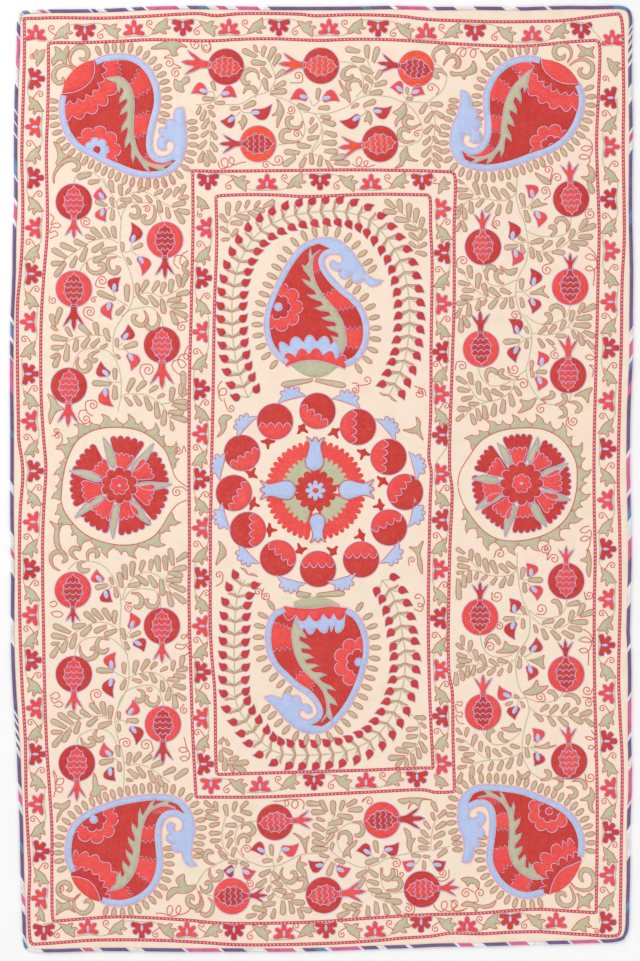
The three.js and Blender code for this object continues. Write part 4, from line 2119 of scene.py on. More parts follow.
CENTRE_PAISLEYS = (
    PaisleyPlan(
        far="286,365 276,357 268,345 264.5,330 265.5,313 270,299 278,280 288,262 300,247 312,240 "
        "326,237.5 338,240 350,249 360,263 367,274 374,279 383,280.5",
        near="346,366.5 357,361 364.5,351 368.5,338 368,322 363,308 354,297 343,288 333,278 326,268 "
        "324,260.5 327.5,255.5 334,254 340,255.5 342.5,259.5 340.5,263.5 336.5,263 333,260",
        head="""
        383,280.5 377,285.5 371,286.5 365,282 364,278.5
        364,278.5 360,283 355,283.5 351.5,278 353,273
        353,273 348,278 343,279 339,274.5 342,269.5
        342,269.5 336,271 331,268 330,263 333,260
        """,
        tip=complex(330, 248.5),
        heart=complex(300, 310),
        spine="341,355 342.5,345 342,334 339,322 333,312 325,302 318,292 313,281 311,268 313,256 "
        "320,249.5",
        bars="358,349>344,346 362,328>343,328 356,307>334,311 335,290>322,296 321,271>313,274",
        first_bar=Thread.CRIMSON,
        flower=complex(278.5, 307),
        flower_size=24.5,
        flower_rings=(Thread.CRIMSON, Thread.BLUE),
        rim="291,366 300,373 312,377.5 325,376 338,367",
        chord="286,367 300,361.5 316,360.5 331,364 345,369",
        rows=((Thread.BLUE, 20.5, 6, 9.5), (Thread.SCARLET, 8.5, 5, 8.0)),
        foot=Thread.SAGE,
    ),
    PaisleyPlan(
        far="347,608 357,614 364,625 368,640 368,655 364,672 358,690 349,707 338,721 325,731 "
        "311,733.5 297,729 285,719 276,709 264,697",
        near="284,607 273,613 267,625 265.5,640 268,655 275,668 285,678 296,688 308,696 315,705 "
        "317.5,713 313,718 306,719.5 300,716 299.5,711 303,709.5 306,713",
        head="""
        264,697 272,695.5 278,697 282,700
        282,700 283,695 288,692.5 292,696 292,701
        292,701 294,696 299,696 301,700 301,704.5
        301,704.5 307,704 311.5,708 311,713 306,713
        """,
        tip=complex(311, 725),
        heart=complex(335, 665),
        spine="297,618 295.5,630 296,641 298,652 303,664 310,673 318,681 325,691 328,703 327.5,713 "
        "322,722",
        bars="275,622>291,628 272,650>292,648 294,679>304,669 311,691>315,680",
        first_bar=Thread.CRIMSON,
        flower=complex(359, 662),
        flower_size=25.5,
        flower_rings=(Thread.CRIMSON, Thread.BLUE),
        rim="340,604 330,599 318,596.5 305,597.5 293,602",
        chord="347,608 331,606 316,608 300,608 284,606",
        rows=((Thread.BLUE, 21.5, 6, 9.0), (Thread.SCARLET, 9.5, 5, 8.0)),
        foot=Thread.SAGE,
    ),
)


@dataclass
class Paisleys:
    """A set of paisleys: a banded body with a flower, a toothed leaf and a barred back.

    Attributes:
        name: the piece's name.
        plans: where each goes.
        band: the width of the blue band.
        leaf_width: the toothed leaf's width.
        tooth: the length of its teeth.
        teeth: how many it has.
        fringe_step: from one petal of the fringe to the next.
        fringe_reach: the length of such a petal.
    """

    name: str
    plans: tuple[PaisleyPlan, ...]
    band: float = 6.2
    leaf_width: float = 7.5
    tooth: float = 13.5
    teeth: int = 8
    fringe_step: float = 7.2
    fringe_reach: float = 10.0

    # How many points before its tip the far side of the body ends.
    TIP_STEPS = 8

    # The shares of the far and near edges that have a fringe, its distance off them, and half its width.
    FAR_FRINGE = 0.96
    NEAR_FRINGE = 0.62
    FRINGE_GAP = 1.6
    FRINGE_HALF = 2.35

    # The length of one tooth of the zigzags between the bars, and their width.
    ZIGZAG_PITCH = 4.5
    ZIGZAG_WIDTH = 3.6

    def build(self) -> Needlework:
        """Works the set.

        Returns:
            The piece, not yet laid on the cloth.
        """
        work = Needlework(self.name, 71 + len(self.plans))
        for plan in self.plans:
            self.paisley(work, plan)
        return work

    def inward(self, curve: Curve, heart: Point) -> float:
        """The sign that shifts a curve towards the body.

        Args:
            curve: the curve's points.
            heart: a place in the middle of the body.

        Returns:
            1 where the body is to the right of the curve as drawn, or -1.
        """
        i = len(curve) // 3
        right = curve[i] + tangent(curve, i) * 1j
        left = curve[i] - tangent(curve, i) * 1j
        return 1.0 if abs(right - heart) < abs(left - heart) else -1.0

    def paisley(self, work: Needlework, plan: PaisleyPlan) -> None:
        """Works one paisley.

        Args:
            work: the piece.
            plan: where it goes.
        """
        far, near = smooth(charted(plan.far)), smooth(charted(plan.near))
        head: Curve = []
        for lobe in rows_of(plan.head):
            head += smooth(charted(lobe), step=1.2)[:-1]
        far_sign = self.inward(far, plan.heart)
        near_sign = self.inward(near, plan.heart)
        far_in = offset(far, far_sign * self.band)
        near_in = offset(near, near_sign * self.band)
        far_in = far_in[: nearest(far_in, plan.tip) - self.TIP_STEPS]
        near_in = near_in[: nearest(near_in, plan.tip)]
        chord = smooth(charted(plan.chord))
        work.patch([*far_in, plan.tip, *near_in[::-1], *chord[::-1][1:-1]], Thread.CRIMSON, 0, 60)
        self.bars(work, plan, near_in)
        self.rows(work, plan, chord)
        self.half_flower(work, plan, far_in, -far_sign)
        self.toothed_leaf(work, plan)
        band = [*far, *head, *near[::-1], *near_in, plan.tip, *far_in[::-1]]
        work.patch(band, Thread.BLUE, 4, 45)
        work.line([*far, *head, *near[::-1]], Thread.ORCHID, 1.0, False, 3)
        foot = smooth(charted(plan.rim))
        work.patch([*foot, *section(chord, foot[-1], foot[0])[1:-1]], plan.foot, 4, 20)
        work.line(chord, Thread.ORCHID, layer=4)
        self.fringe(work, far[: int(len(far) * self.FAR_FRINGE)], -far_sign)
        self.fringe(work, near[: int(len(near) * self.NEAR_FRINGE)], -near_sign)

    def bars(self, work: Needlework, plan: PaisleyPlan, near_in: Curve) -> None:
        """Works the scarlet bars of the back and the zigzags between the bars.

        Args:
            work: the piece that it is worked on.
            plan: where it goes.
            near_in: the inner edge of the band on the hollow side.
        """
        spine = smooth(charted(plan.spine))
        bars = strokes(plan.bars)
        ends = [(near_in[0], spine[0]), *bars, (near_in[-1], spine[-1])]
        colours = (Thread.SCARLET, Thread.CRIMSON)
        turn = 0 if plan.first_bar is Thread.SCARLET else 1
        for i, ((n0, s0), (n1, s1)) in enumerate(zip(ends, ends[1:])):
            if colours[(i + turn) % 2] is Thread.SCARLET:
                bar = section(near_in, n0, n1) + section(spine, s1, s0)
                work.patch(bar, Thread.SCARLET, 1, 30)
        for n, s in bars:
            teeth = max(3, round(abs(s - n) / self.ZIGZAG_PITCH))
            work.line(zigzag(n, s, teeth, self.ZIGZAG_WIDTH), Thread.ORCHID, 0.8, False, 2)

    def lobe(self, depth: float, count: int, t: float) -> float:
        """The swell of a row of lobes at a share of its length."""
        return depth * (abs(math.sin(math.pi * count * t)) ** 0.7 - 0.5)

    def rows(self, work: Needlework, plan: PaisleyPlan, chord: Curve) -> None:
        """Works the scalloped rows that grow from the foot.

        Args:
            work: the piece that it is worked on.
            plan: where it goes.
            chord: the line across the foot.
        """
        sign = self.inward(chord, plan.heart)
        spine = smooth(charted(plan.spine))
        for i, (thread, reach, count, bulge) in enumerate(plan.rows):
            line = offset(chord, sign * reach)
            edge = offset(line, partial(self.lobe, sign * bulge, count))
            base = list(chord)
            if i == 0:
                edge = edge[: nearest(edge, spine[0]) + 1]
                base = base[: nearest(base, spine[0]) + 1]
            work.patch([*base, *edge[::-1]], thread, 2 + i, 0)
            clear = [p for p in edge if abs(p - spine[nearest(spine, p)]) > self.leaf_width * 0.6]
            work.line(clear if i == 0 else edge, Thread.ORCHID, layer=2 + i)

    def half_flower(self, work: Needlework, plan: PaisleyPlan, far_in: Curve, out: float) -> None:
        """Works the flower that the band cuts.

        Args:
            work: the piece.
            plan: where it goes.
            far_in: the band's inner edge.
            out: the sign that shifts that edge outwards.
        """
        middle, dot = plan.flower_rings
        size = plan.flower_size
        rings = (
            (lobed(plan.flower, size, 9, 0.22), Thread.SCARLET, 1),
            (lobed(plan.flower, size * 0.52, 7, 0.22), middle, 2),
            (oval(plan.flower, size * 0.17, size * 0.17, 0, 14), dot, 3),
        )
        for outline, thread, layer in rings:
            kept: Curve = []
            runs: list[Curve] = [[]]
            for p in outline:
                i = nearest(far_in, p)
                outward = tangent(far_in, i) * 1j * out
                if ((p - far_in[i]) * outward.conjugate()).real > 0:
                    runs.append([])
                    p = far_in[i] + outward * 1.5
                else:
                    runs[-1].append(p)
                if not kept or abs(p - kept[-1]) > 0.3:
                    kept.append(p)
            if abs(kept[0] - kept[-1]) < 0.3:
                kept.pop()
            if sum(len(run) for run in runs) > 5:
                work.patch(kept, thread, layer)
            for run in runs:
                if len(run) > 3:
                    work.line(run, Thread.ORCHID, layer=layer)

    def toothed_leaf(self, work: Needlework, plan: PaisleyPlan) -> None:
        """Works the sage leaf between the body and the back.

        Args:
            work: the piece that it is worked on.
            plan: where it goes.
        """
        spine = smooth(charted(plan.spine))
        sign = self.inward(spine, plan.heart)
        width = self.leaf_width

        def half(t: float) -> float:
            """The leaf's half width at a share of its length."""
            return width / 2 * min(1.0, 0.2 + 8 * t) * (1.1 - 0.85 * t**1.5)

        back = offset(spine, lambda t: -sign * half(t))
        last = len(spine) - 1
        front: Curve = [spine[0]]
        for k in range(self.teeth):
            t0, t1 = (k + 0.7) / (self.teeth + 1), (k + 1.35) / (self.teeth + 1)
            i0, i1 = round(t0 * last), round(t1 * last)
            i2 = round((k + 1.65) / (self.teeth + 1) * last)
            size = self.tooth * min(1.0, 0.3 + 3 * t1) * (1 - 0.5 * t1)
            root = spine[i0] + tangent(spine, i0) * 1j * sign * half(t0)
            tooth_tip = spine[i2] + tangent(spine, i2) * (1j * sign * size)
            notch = spine[i1] + tangent(spine, i1) * 1j * sign * half(t1)
            shoulder = root * 0.45 + tooth_tip * 0.55 + tangent(spine, i0) * 1j * sign * 1.3
            front += [root, shoulder, tooth_tip, notch]
        outline = [*front, spine[-1], *back[::-1]]
        work.bordered(outline, Thread.SAGE, Thread.ORCHID, 3, 60, 0.7)

    def fringe(self, work: Needlework, edge: Curve, out: float) -> None:
        """Works the petals that stand round the band.

        Args:
            work: the piece that it is worked on.
            edge: the outer edge of the band.
            out: the sign that shifts the edge outwards.
        """
        for place, way in along(edge, self.fringe_step, self.fringe_step):
            normal = way * 1j * out
            middle = place + normal * (self.FRINGE_GAP + self.fringe_reach / 2)
            turn = bearing(normal)
            outline = oval(middle, self.fringe_reach / 2, self.FRINGE_HALF, turn, 14)
            work.bordered(outline, Thread.SAGE, Thread.MADDER, 0, turn)


# The field


def comma(work: Needlework, path: Sequence[Point], width: float = 4.6) -> None:
    """A curled sage leaf that swells from a thin tail to a round head.

    Args:
        work: the piece.
        path: its middle line, from tail to head.
        width: of its head.
    """
    spine = smooth(path, step=1.2)
    last = len(spine) - 1
    one: Curve = []
    other: Curve = []
    for i, p in enumerate(spine):
        t = i / last
        half = width / 2 * (0.16 + 0.84 * math.sin(math.pi / 2 * min(1, t / 0.75))) * (1 - t**9) ** 0.5
        normal = tangent(spine, i) * 1j
        one.append(p + normal * half)
        other.append(p - normal * half)
    work.bordered(one + other[-2:0:-1], Thread.SAGE, Thread.MADDER, 0, 0)


def bud(work: Needlework, base: Point, tip: Point, side: int, floss: Thread, width: float = 12.0) -> None:
    """A red bud with a hooked tip and a blue heart at its base.

    Args:
        work: the piece.
        base: where its heart is.
        tip: the end of its hook.
        side: 1 where it swells to the right of the way from base to tip, or -1.
        floss: the bud's floss.
        width: at its fullest.
    """
    way = tip - base
    outline = two_sided(
        base, tip, 16,
        lambda t: width / 2 * min(1.0, (t / 0.2) ** 0.6) * (1 - max(0.0, (t - 0.42) / 0.58) ** 1.45),
        lambda t: side * 0.26 * abs(way) * math.sin(math.pi * t),
    )
    work.bordered(outline, floss, Thread.LILAC, 0, bearing(way), 0.8)
    lean = cmath.rect(1, cmath.phase(way) + side * 0.35)
    work.patch(oval(base + lean * 4.6, 4.6, 2.6, bearing(lean), 12), Thread.BLUE, 1)


@dataclass(frozen=True)
class FieldPart:
    """One part of the field between the borders. Each text holds places on the chart.

    Attributes:
        stems: the middle line of each stem, one to a line.
        leaves: base and tip of each small leaf.
        commas: the middle line of each curled leaf, from tail to head.
        lobed: the outline of each lobed leaf.
        curls: for each curl its centre, its radius, its turns (negative for the other way), and then the
            places of its tail.
        loops: the line of each looped tendril.
        buds: base and tip of each bud, each with its side and colour.
    """

    stems: str = ""
    leaves: str = ""
    commas: str = ""
    lobed: str = ""
    curls: str = ""
    loops: str = ""
    buds: str = ""


TOP_BAND = FieldPart(
    stems="""
    212,101 220,104 240,104 248,100 254,96 262,94 270,90 275,80 273,70 268,60 258,51
    270,95 280,98 290,102 298,108 303,120 305,130 302,138 294,142 285,144 278,145
    243,66 252,69 258,76 261,84 258,92 255,98
    215,102 213,92 207,92
    215,100 222,93
    240,108 242,112 251,113
    240,112 236,116
    210,103 209,115 210,130 210,145 207,160
    196,105 205,104 214,101
    303,112 312,113 318,118 322,128 322,140 318,146 312,152 303,156
    310,113 325,114 340,110 350,105 356,100 366,96 380,96 392,98 402,102 412,102 424,103 432,110 \
    435,122 434,135 431,148 434,160
    367,60 371,70 373,80 371,88 366,95
    340,62 350,63 358,68 363,78 362,90 356,97
    402,102 410,107 418,117 422,128 421,138 415,143 405,146 398,146
    310,100 313,106 320,100
    433,63 440,67 446,75 445,85 440,93 432,99 428,103
    404,97 402,92
    405,99 411,94
    363,106 366,112 360,117
    322,128 318,140 312,152 326,160
    """,
    leaves="""
    257,57>242,50 257,53>254,45 262,57>265,46 268,61>275,47 273,66>280,54 266,64>251,62 271,78>261,68
    275,78>285,70 267,91>264,78 274,88>286,82 270,93>287,91 243,108>256,102 240,108>230,109 214,99>202,99
    215,103>225,103 215,91>212,81 207,107>214,107 201,106>197,115 206,110>201,121 209,110>215,117
    209,119>202,129 212,121>215,130 209,131>201,137 211,131>217,140 207,141>198,149 211,142>217,152
    204,151>199,163 208,150>215,163 204,153>208,167 310,110>297,105 318,108>330,108 310,125>313,117
    318,124>309,133 319,137>307,139 311,147>297,145 300,153>284,152 296,157>283,166 306,157>300,168
    311,153>312,165 321,155>319,167 324,132>337,136 322,121>336,125 320,117>331,118 322,143>337,143
    324,151>338,152 330,159>346,156 334,163>350,163 326,160>332,170 317,100>319,88 360,52>345,49
    367,59>367,45 373,63>378,47 365,61>351,59 373,74>360,67 375,80>382,70 373,84>365,76 374,86>387,82
    364,94>367,84 369,94>383,92 351,108>359,104 363,106>376,101 407,95>407,87 406,99>413,99
    430,104>443,105 427,103>420,114 433,112>425,123 434,111>444,118 433,125>424,134 434,125>440,132
    431,137>423,145 433,136>438,144 431,147>422,157 433,146>442,152 431,158>424,166 433,153>442,161
    433,160>440,168
    """,
    commas="""
    259,80 257,72 250,70 244,74 243,80 246,84 250,81
    243,94 247,88 253,88 257,94
    303,121 300,127 293,128 288,125 288,119 294,117
    300,142 290,142 283,141 281,136 284,131 291,131
    357,67 350,67 344,71 343,77 347,79 352,77 352,74
    361,88 360,82 354,80 349,82 348,88 351,91
    421,124 412,128 406,126 404,121 408,117 414,119
    415,141 405,142 400,138 400,131 406,129 410,133
    436,63 433,55 437,49 444,47 448,51 446,54
    447,76 441,71 436,71 435,75 439,79
    443,66 448,58 454,56 458,61 456,68
    """,
    lobed="""
    277,99 281,104 284,111 281,119 277,128 277,120 278,115 272,116 276,112 278,106
    243,115 247,120 245,126 242,130 241,125 238,122 241,121
    339,80 343,86 349,94 350,103 346,99 340,95 344,92 341,87
    368,111 371,115 372,120 370,125 368,121 364,122 366,117
    404,104 407,110 404,117 398,122 396,127 395,121 398,116 393,113 399,109
    407,147 408,153 411,158 418,161 411,161 406,160 402,166 395,168 400,163 400,155 403,150
    """,
    curls="""
    298,76 4.5 1.3 302,82 290,83
    291,110 4.4 1.5 287,113
    297,134 4.0 1.4 303,137
    417,134 3.2 1.2 421,130
    278,160 5.5 1.4 273,165
    266,165 4.0 1.3 274,166
    431,88 4.5 1.2 439,90 436,95
    """,
    loops="""
    218,162 220,168 226,168 228,162 225,158 221,161 224,167 232,166 234,160 231,157 229,161 233,165 \
    240,163 246,162
    352,164 358,167 362,160 359,157 356,162 361,167 366,166 368,161 364,162 366,167 375,165
    190,40 192,47 196,49 199,45 196,42 194,46
    202,42 202,49 207,53 211,49 209,43
    """,
    buds="""
    208,92>191,94+S 235,117>220,121-C 221,94>237,98-S 251,113>272,104+C 308,98>290,100+S 322,99>340,102-S
    360,116>339,121-C 373,111>392,106+C 403,92>390,88+S 411,93>425,95-S
    """,
)

LEFT_UPPER = FieldPart(
    stems="""
    103,178 109,190 115,200 118,210 121,220 120,235 121,250 125,260 130,272 133,285 133,297 130,307 \
    122,318 115,330 113,343 114,355 119,368 121,380 121,395 118,411
    118,208 117,202 123,196 132,193 145,192 155,197 165,204 174,208
    121,220 124,210 130,203 140,203 148,203 155,208 160,216 162,222
    118,243 110,239 100,239 88,243 78,250 68,257 62,262
    121,258 113,254 104,255 92,258 84,264 80,271
    133,298 140,294 150,293 160,297 168,305 172,310
    160,297 170,294 180,288 184,284
    112,338 105,336 95,335 85,336 75,338 65,344 58,351 50,357
    122,316 130,310 140,308 150,307 157,312 161,318 163,326
    114,357 108,351 98,349 86,349 78,354 75,361 73,367
    121,397 127,394 137,394 147,395 155,400 163,406 168,414 171,421
    161,404 172,402 180,396
    121,382 112,382 106,377
    112,383 107,389
    116,207 110,208 103,202
    110,208 104,211
    125,253 131,250 132,243
    131,251 137,255
    116,299 113,292
    128,306 118,300
    118,347 123,343
    118,349 126,350 129,354
    """,
    leaves="""
    113,193>110,180 121,196>120,184 125,194>131,188 137,192>146,188 132,195>142,202 132,187>133,178
    141,187>141,178 150,187>148,178 154,195>163,190 158,188>156,179 163,199>171,189 167,187>164,180
    173,197>179,187 174,185>171,180 181,195>185,184 178,198>189,197 172,206>186,202 176,210>190,213
    175,210>184,224 167,207>169,219 158,200>161,213 146,195>152,203 120,200>132,200 118,208>127,204
    113,207>111,197 113,209>112,221 107,206>95,201 102,238>91,228 110,238>103,227 115,239>113,226
    96,239>85,236 87,246>74,241 76,251>60,244 67,258>52,249 64,263>51,264 66,262>55,277 77,256>71,268
    87,247>81,262 104,243>92,252 117,248>101,252 107,255>93,262 123,252>122,242 133,249>143,244
    127,257>131,265 127,302>127,284 138,296>137,283 141,292>148,280 152,292>159,281 161,294>165,282
    170,293>172,279 176,295>190,292 167,301>182,299 138,296>148,304 149,295>158,307 162,299>164,314
    170,306>187,306 172,310>188,317 171,311>177,325 180,288>178,274 182,287>188,270 116,300>97,292
    56,324>61,307 55,327>51,314 58,331>51,326 91,335>79,325 98,336>95,322 109,342>105,328 72,337>66,327
    68,340>51,337 64,347>51,348 60,354>51,358 60,354>54,368 68,344>66,362 77,338>75,352 90,337>82,348
    100,339>91,347 108,344>100,349 125,306>116,315 117,348>117,338 123,348>138,343 116,354>120,359
    127,392>134,378 136,391>146,381 149,392>158,386 157,398>165,394 171,402>173,387 180,396>182,383
    184,390>183,371 181,397>189,390 173,402>188,402 172,404>188,409 168,412>184,413 171,416>188,421
    171,421>173,431 165,410>163,426 156,402>158,419 145,396>151,411 134,395>141,406 125,397>132,406
    115,380>115,368 111,384>92,383 115,385>115,400
    """,
    commas="""
    131,207 136,206 139,211 137,217 132,216 130,213
    154,205 155,213 153,220 147,223 143,220 144,216 147,216
    87,262 88,269 94,273 101,272 105,268 102,264 98,266
    117,257 109,259 108,266 110,271 115,273 119,269 116,266
    144,310 147,317 145,324 139,325 134,321 134,316 138,316
    157,312 159,320 155,328 149,328 146,322 149,319
    79,357 77,363 80,370 86,371 90,366 87,361 84,363
    100,351 94,353 90,357 93,361 98,359
    188,276 184,268 188,261
    """,
    curls="""
    147,209 3.5 -1.3 143,207
    102,281 5.0 -1.3 97,280 96,286 105,288
    86,222 4.5 -1.3 81,220 83,226 90,228
    90,312 5.0 -1.4 85,308 84,315 93,321
    93,405 5.0 -1.4 86,402 87,412 93,416
    86,419 4.8 1.4 79,418 80,411 87,410
    148,370 6.0 -1.4 142,365 140,372 144,379
    182,327 4.8 1.4 188,321 184,319
    53,300 4.0 1.2 50,296
    94,300 3.0 1.2 97,297
    """,
    loops="""
    50,214 54,218 51,225 57,223 61,226 57,228 52,227 50,233 55,231 58,235 54,237 50,239
    188,346 185,352 184,358 188,359 187,354 180,356 178,362 182,368 186,365 182,360 174,361 172,366 \
    177,373 184,376
    188,251 182,255 180,263 185,267 188,262 183,256 176,256 174,263 179,269
    """,
    buds="""
    104,200>101,187-S 103,208>106,222+S 132,243>131,222+C 139,256>142,276-S 114,292>121,277-C
    110,302>112,320+S 123,340>128,324+C 129,353>131,371-S 109,376>101,361-C 105,388>114,407+S
    """,
)

LEFT_LOWER = FieldPart(
    stems="""
    68,570 75,563 88,561 100,564 107,569 113,577 119,590 121,605 120,625 121,640 126,652 129,668 \
    128,685 123,697 117,710 115,722 118,738 123,755 124,780 123,795
    122,600 126,588 135,577 145,572 155,574 163,580 169,589 173,595
    163,580 172,572 180,568
    124,600 129,592 137,589 147,589 155,591 159,597 161,607
    118,630 110,624 100,622 88,625 76,632 66,640 58,648
    121,638 127,637 134,638
    128,655 120,645 110,638 95,637 83,640 77,647 74,658
    113,671 120,675 127,678 135,675 148,672 158,674 165,680 171,688 175,696
    118,707 120,700 128,690 140,686 150,685 158,689 162,698 164,706
    113,722 105,717 95,716 82,718 72,726 62,734
    115,722 122,720 128,724
    118,752 115,740 108,731 98,729 85,732 78,738 77,746
    122,755 127,765 137,764 150,768 160,775 170,782
    118,587 111,586 103,582
    112,587 106,590
    126,637 131,630
    117,760 112,757
    """,
    leaves="""
    113,585>110,577 108,585>95,588 115,587>117,598 122,588>119,572 126,580>124,564 132,577>133,561
    140,572>144,560 150,571>152,559 159,572>157,555 166,571>165,555 173,566>170,548 128,586>141,584
    136,575>148,585 149,575>157,588 161,579>163,596 168,572>183,576 166,580>182,580 169,584>186,591
    168,591>172,607 173,593>186,603 172,570>187,567 176,561>188,553 96,622>84,612 103,620>92,609
    111,621>103,608 114,624>115,610 71,633>53,625 86,625>72,627 67,638>51,635 60,643>51,644 92,626>81,636
    107,626>94,632 117,630>104,635 76,633>71,649 67,640>62,653 59,646>51,658 125,640>122,628
    130,636>141,632 125,641>129,650 181,668>183,655 124,674>124,662 134,674>137,660 141,671>149,659
    150,669>157,662 160,671>168,667 172,671>174,660 176,671>188,668 114,671>96,670 126,679>121,690
    132,679>142,682 140,673>148,680 150,672>156,683 167,679>180,680 173,675>186,677 162,680>163,692
    172,685>186,688 170,687>167,701 174,694>176,709 176,693>186,700 100,714>90,703 105,716>102,701
    110,719>111,705 91,717>80,710 80,719>68,712 73,724>58,713 67,728>51,720 63,732>51,732 80,721>75,734
    71,728>63,742 63,734>53,747 98,717>87,726 112,722>98,727 119,720>119,711 119,723>119,732
    126,720>139,721 119,757>117,745 128,765>130,752 133,762>141,752 142,762>152,755 151,767>164,761
    163,774>176,768 174,779>188,769 114,760>99,763 119,761>120,772 128,769>138,778 137,766>145,778
    149,770>155,783 133,781>126,779 158,775>163,787
    """,
    commas="""
    131,593 138,594 142,600 139,607 133,606
    158,593 159,600 156,606 149,606 146,601 149,599
    109,640 101,638 97,643 98,650 104,652 109,648
    80,645 81,653 87,659 94,657 97,652 94,648 90,650
    137,689 143,692 143,699 138,701 136,697
    158,695 159,701 154,705 148,703 146,698 149,696
    98,729 95,733 95,738 100,740 104,736
    81,737 83,743 89,746 94,742 91,738 88,740
    60,571 53,566 51,557 56,552 63,553 66,559 62,563
    78,560 73,556 71,551 75,548 81,550
    88,561 88,553 94,550 98,554 95,558
    86,562 81,562 79,567 84,571 90,569
    """,
    curls="""
    129,608 4.5 1.4 132,603 125,602
    150,689 3.0 1.2 147,687
    97,694 4.8 -1.4 91,692 92,700 95,703
    184,710 4.0 1.4 184,704
    126,743 5.0 -1.4 120,740 120,747
    146,745 6.0 1.4 153,750 149,754
    """,
    loops="""
    50,603 55,601 57,604 53,607 50,605
    51,613 57,611 63,614 60,617 54,616 51,613
    188,625 188,633 183,639 181,636 186,635 189,642 184,645 177,644 175,647 182,649 187,646 189,652 \
    184,656
    50,696 56,692 60,696 56,699 51,697 54,703 59,701 63,704 60,707 54,705
    184,737 186,745 187,751 181,752 179,749 184,747 189,752 189,758 184,761 180,758 185,756 189,759
    54,770 57,778 56,785
    """,
    buds="""
    102,582>97,569-S 105,590>113,602+C 131,629>130,612+S 134,641>144,652-C 112,669>116,652-S
    112,678>114,698+C 128,715>133,699+S 131,726>136,745-C 112,756>104,742-S 110,767>116,781+C
    """,
)

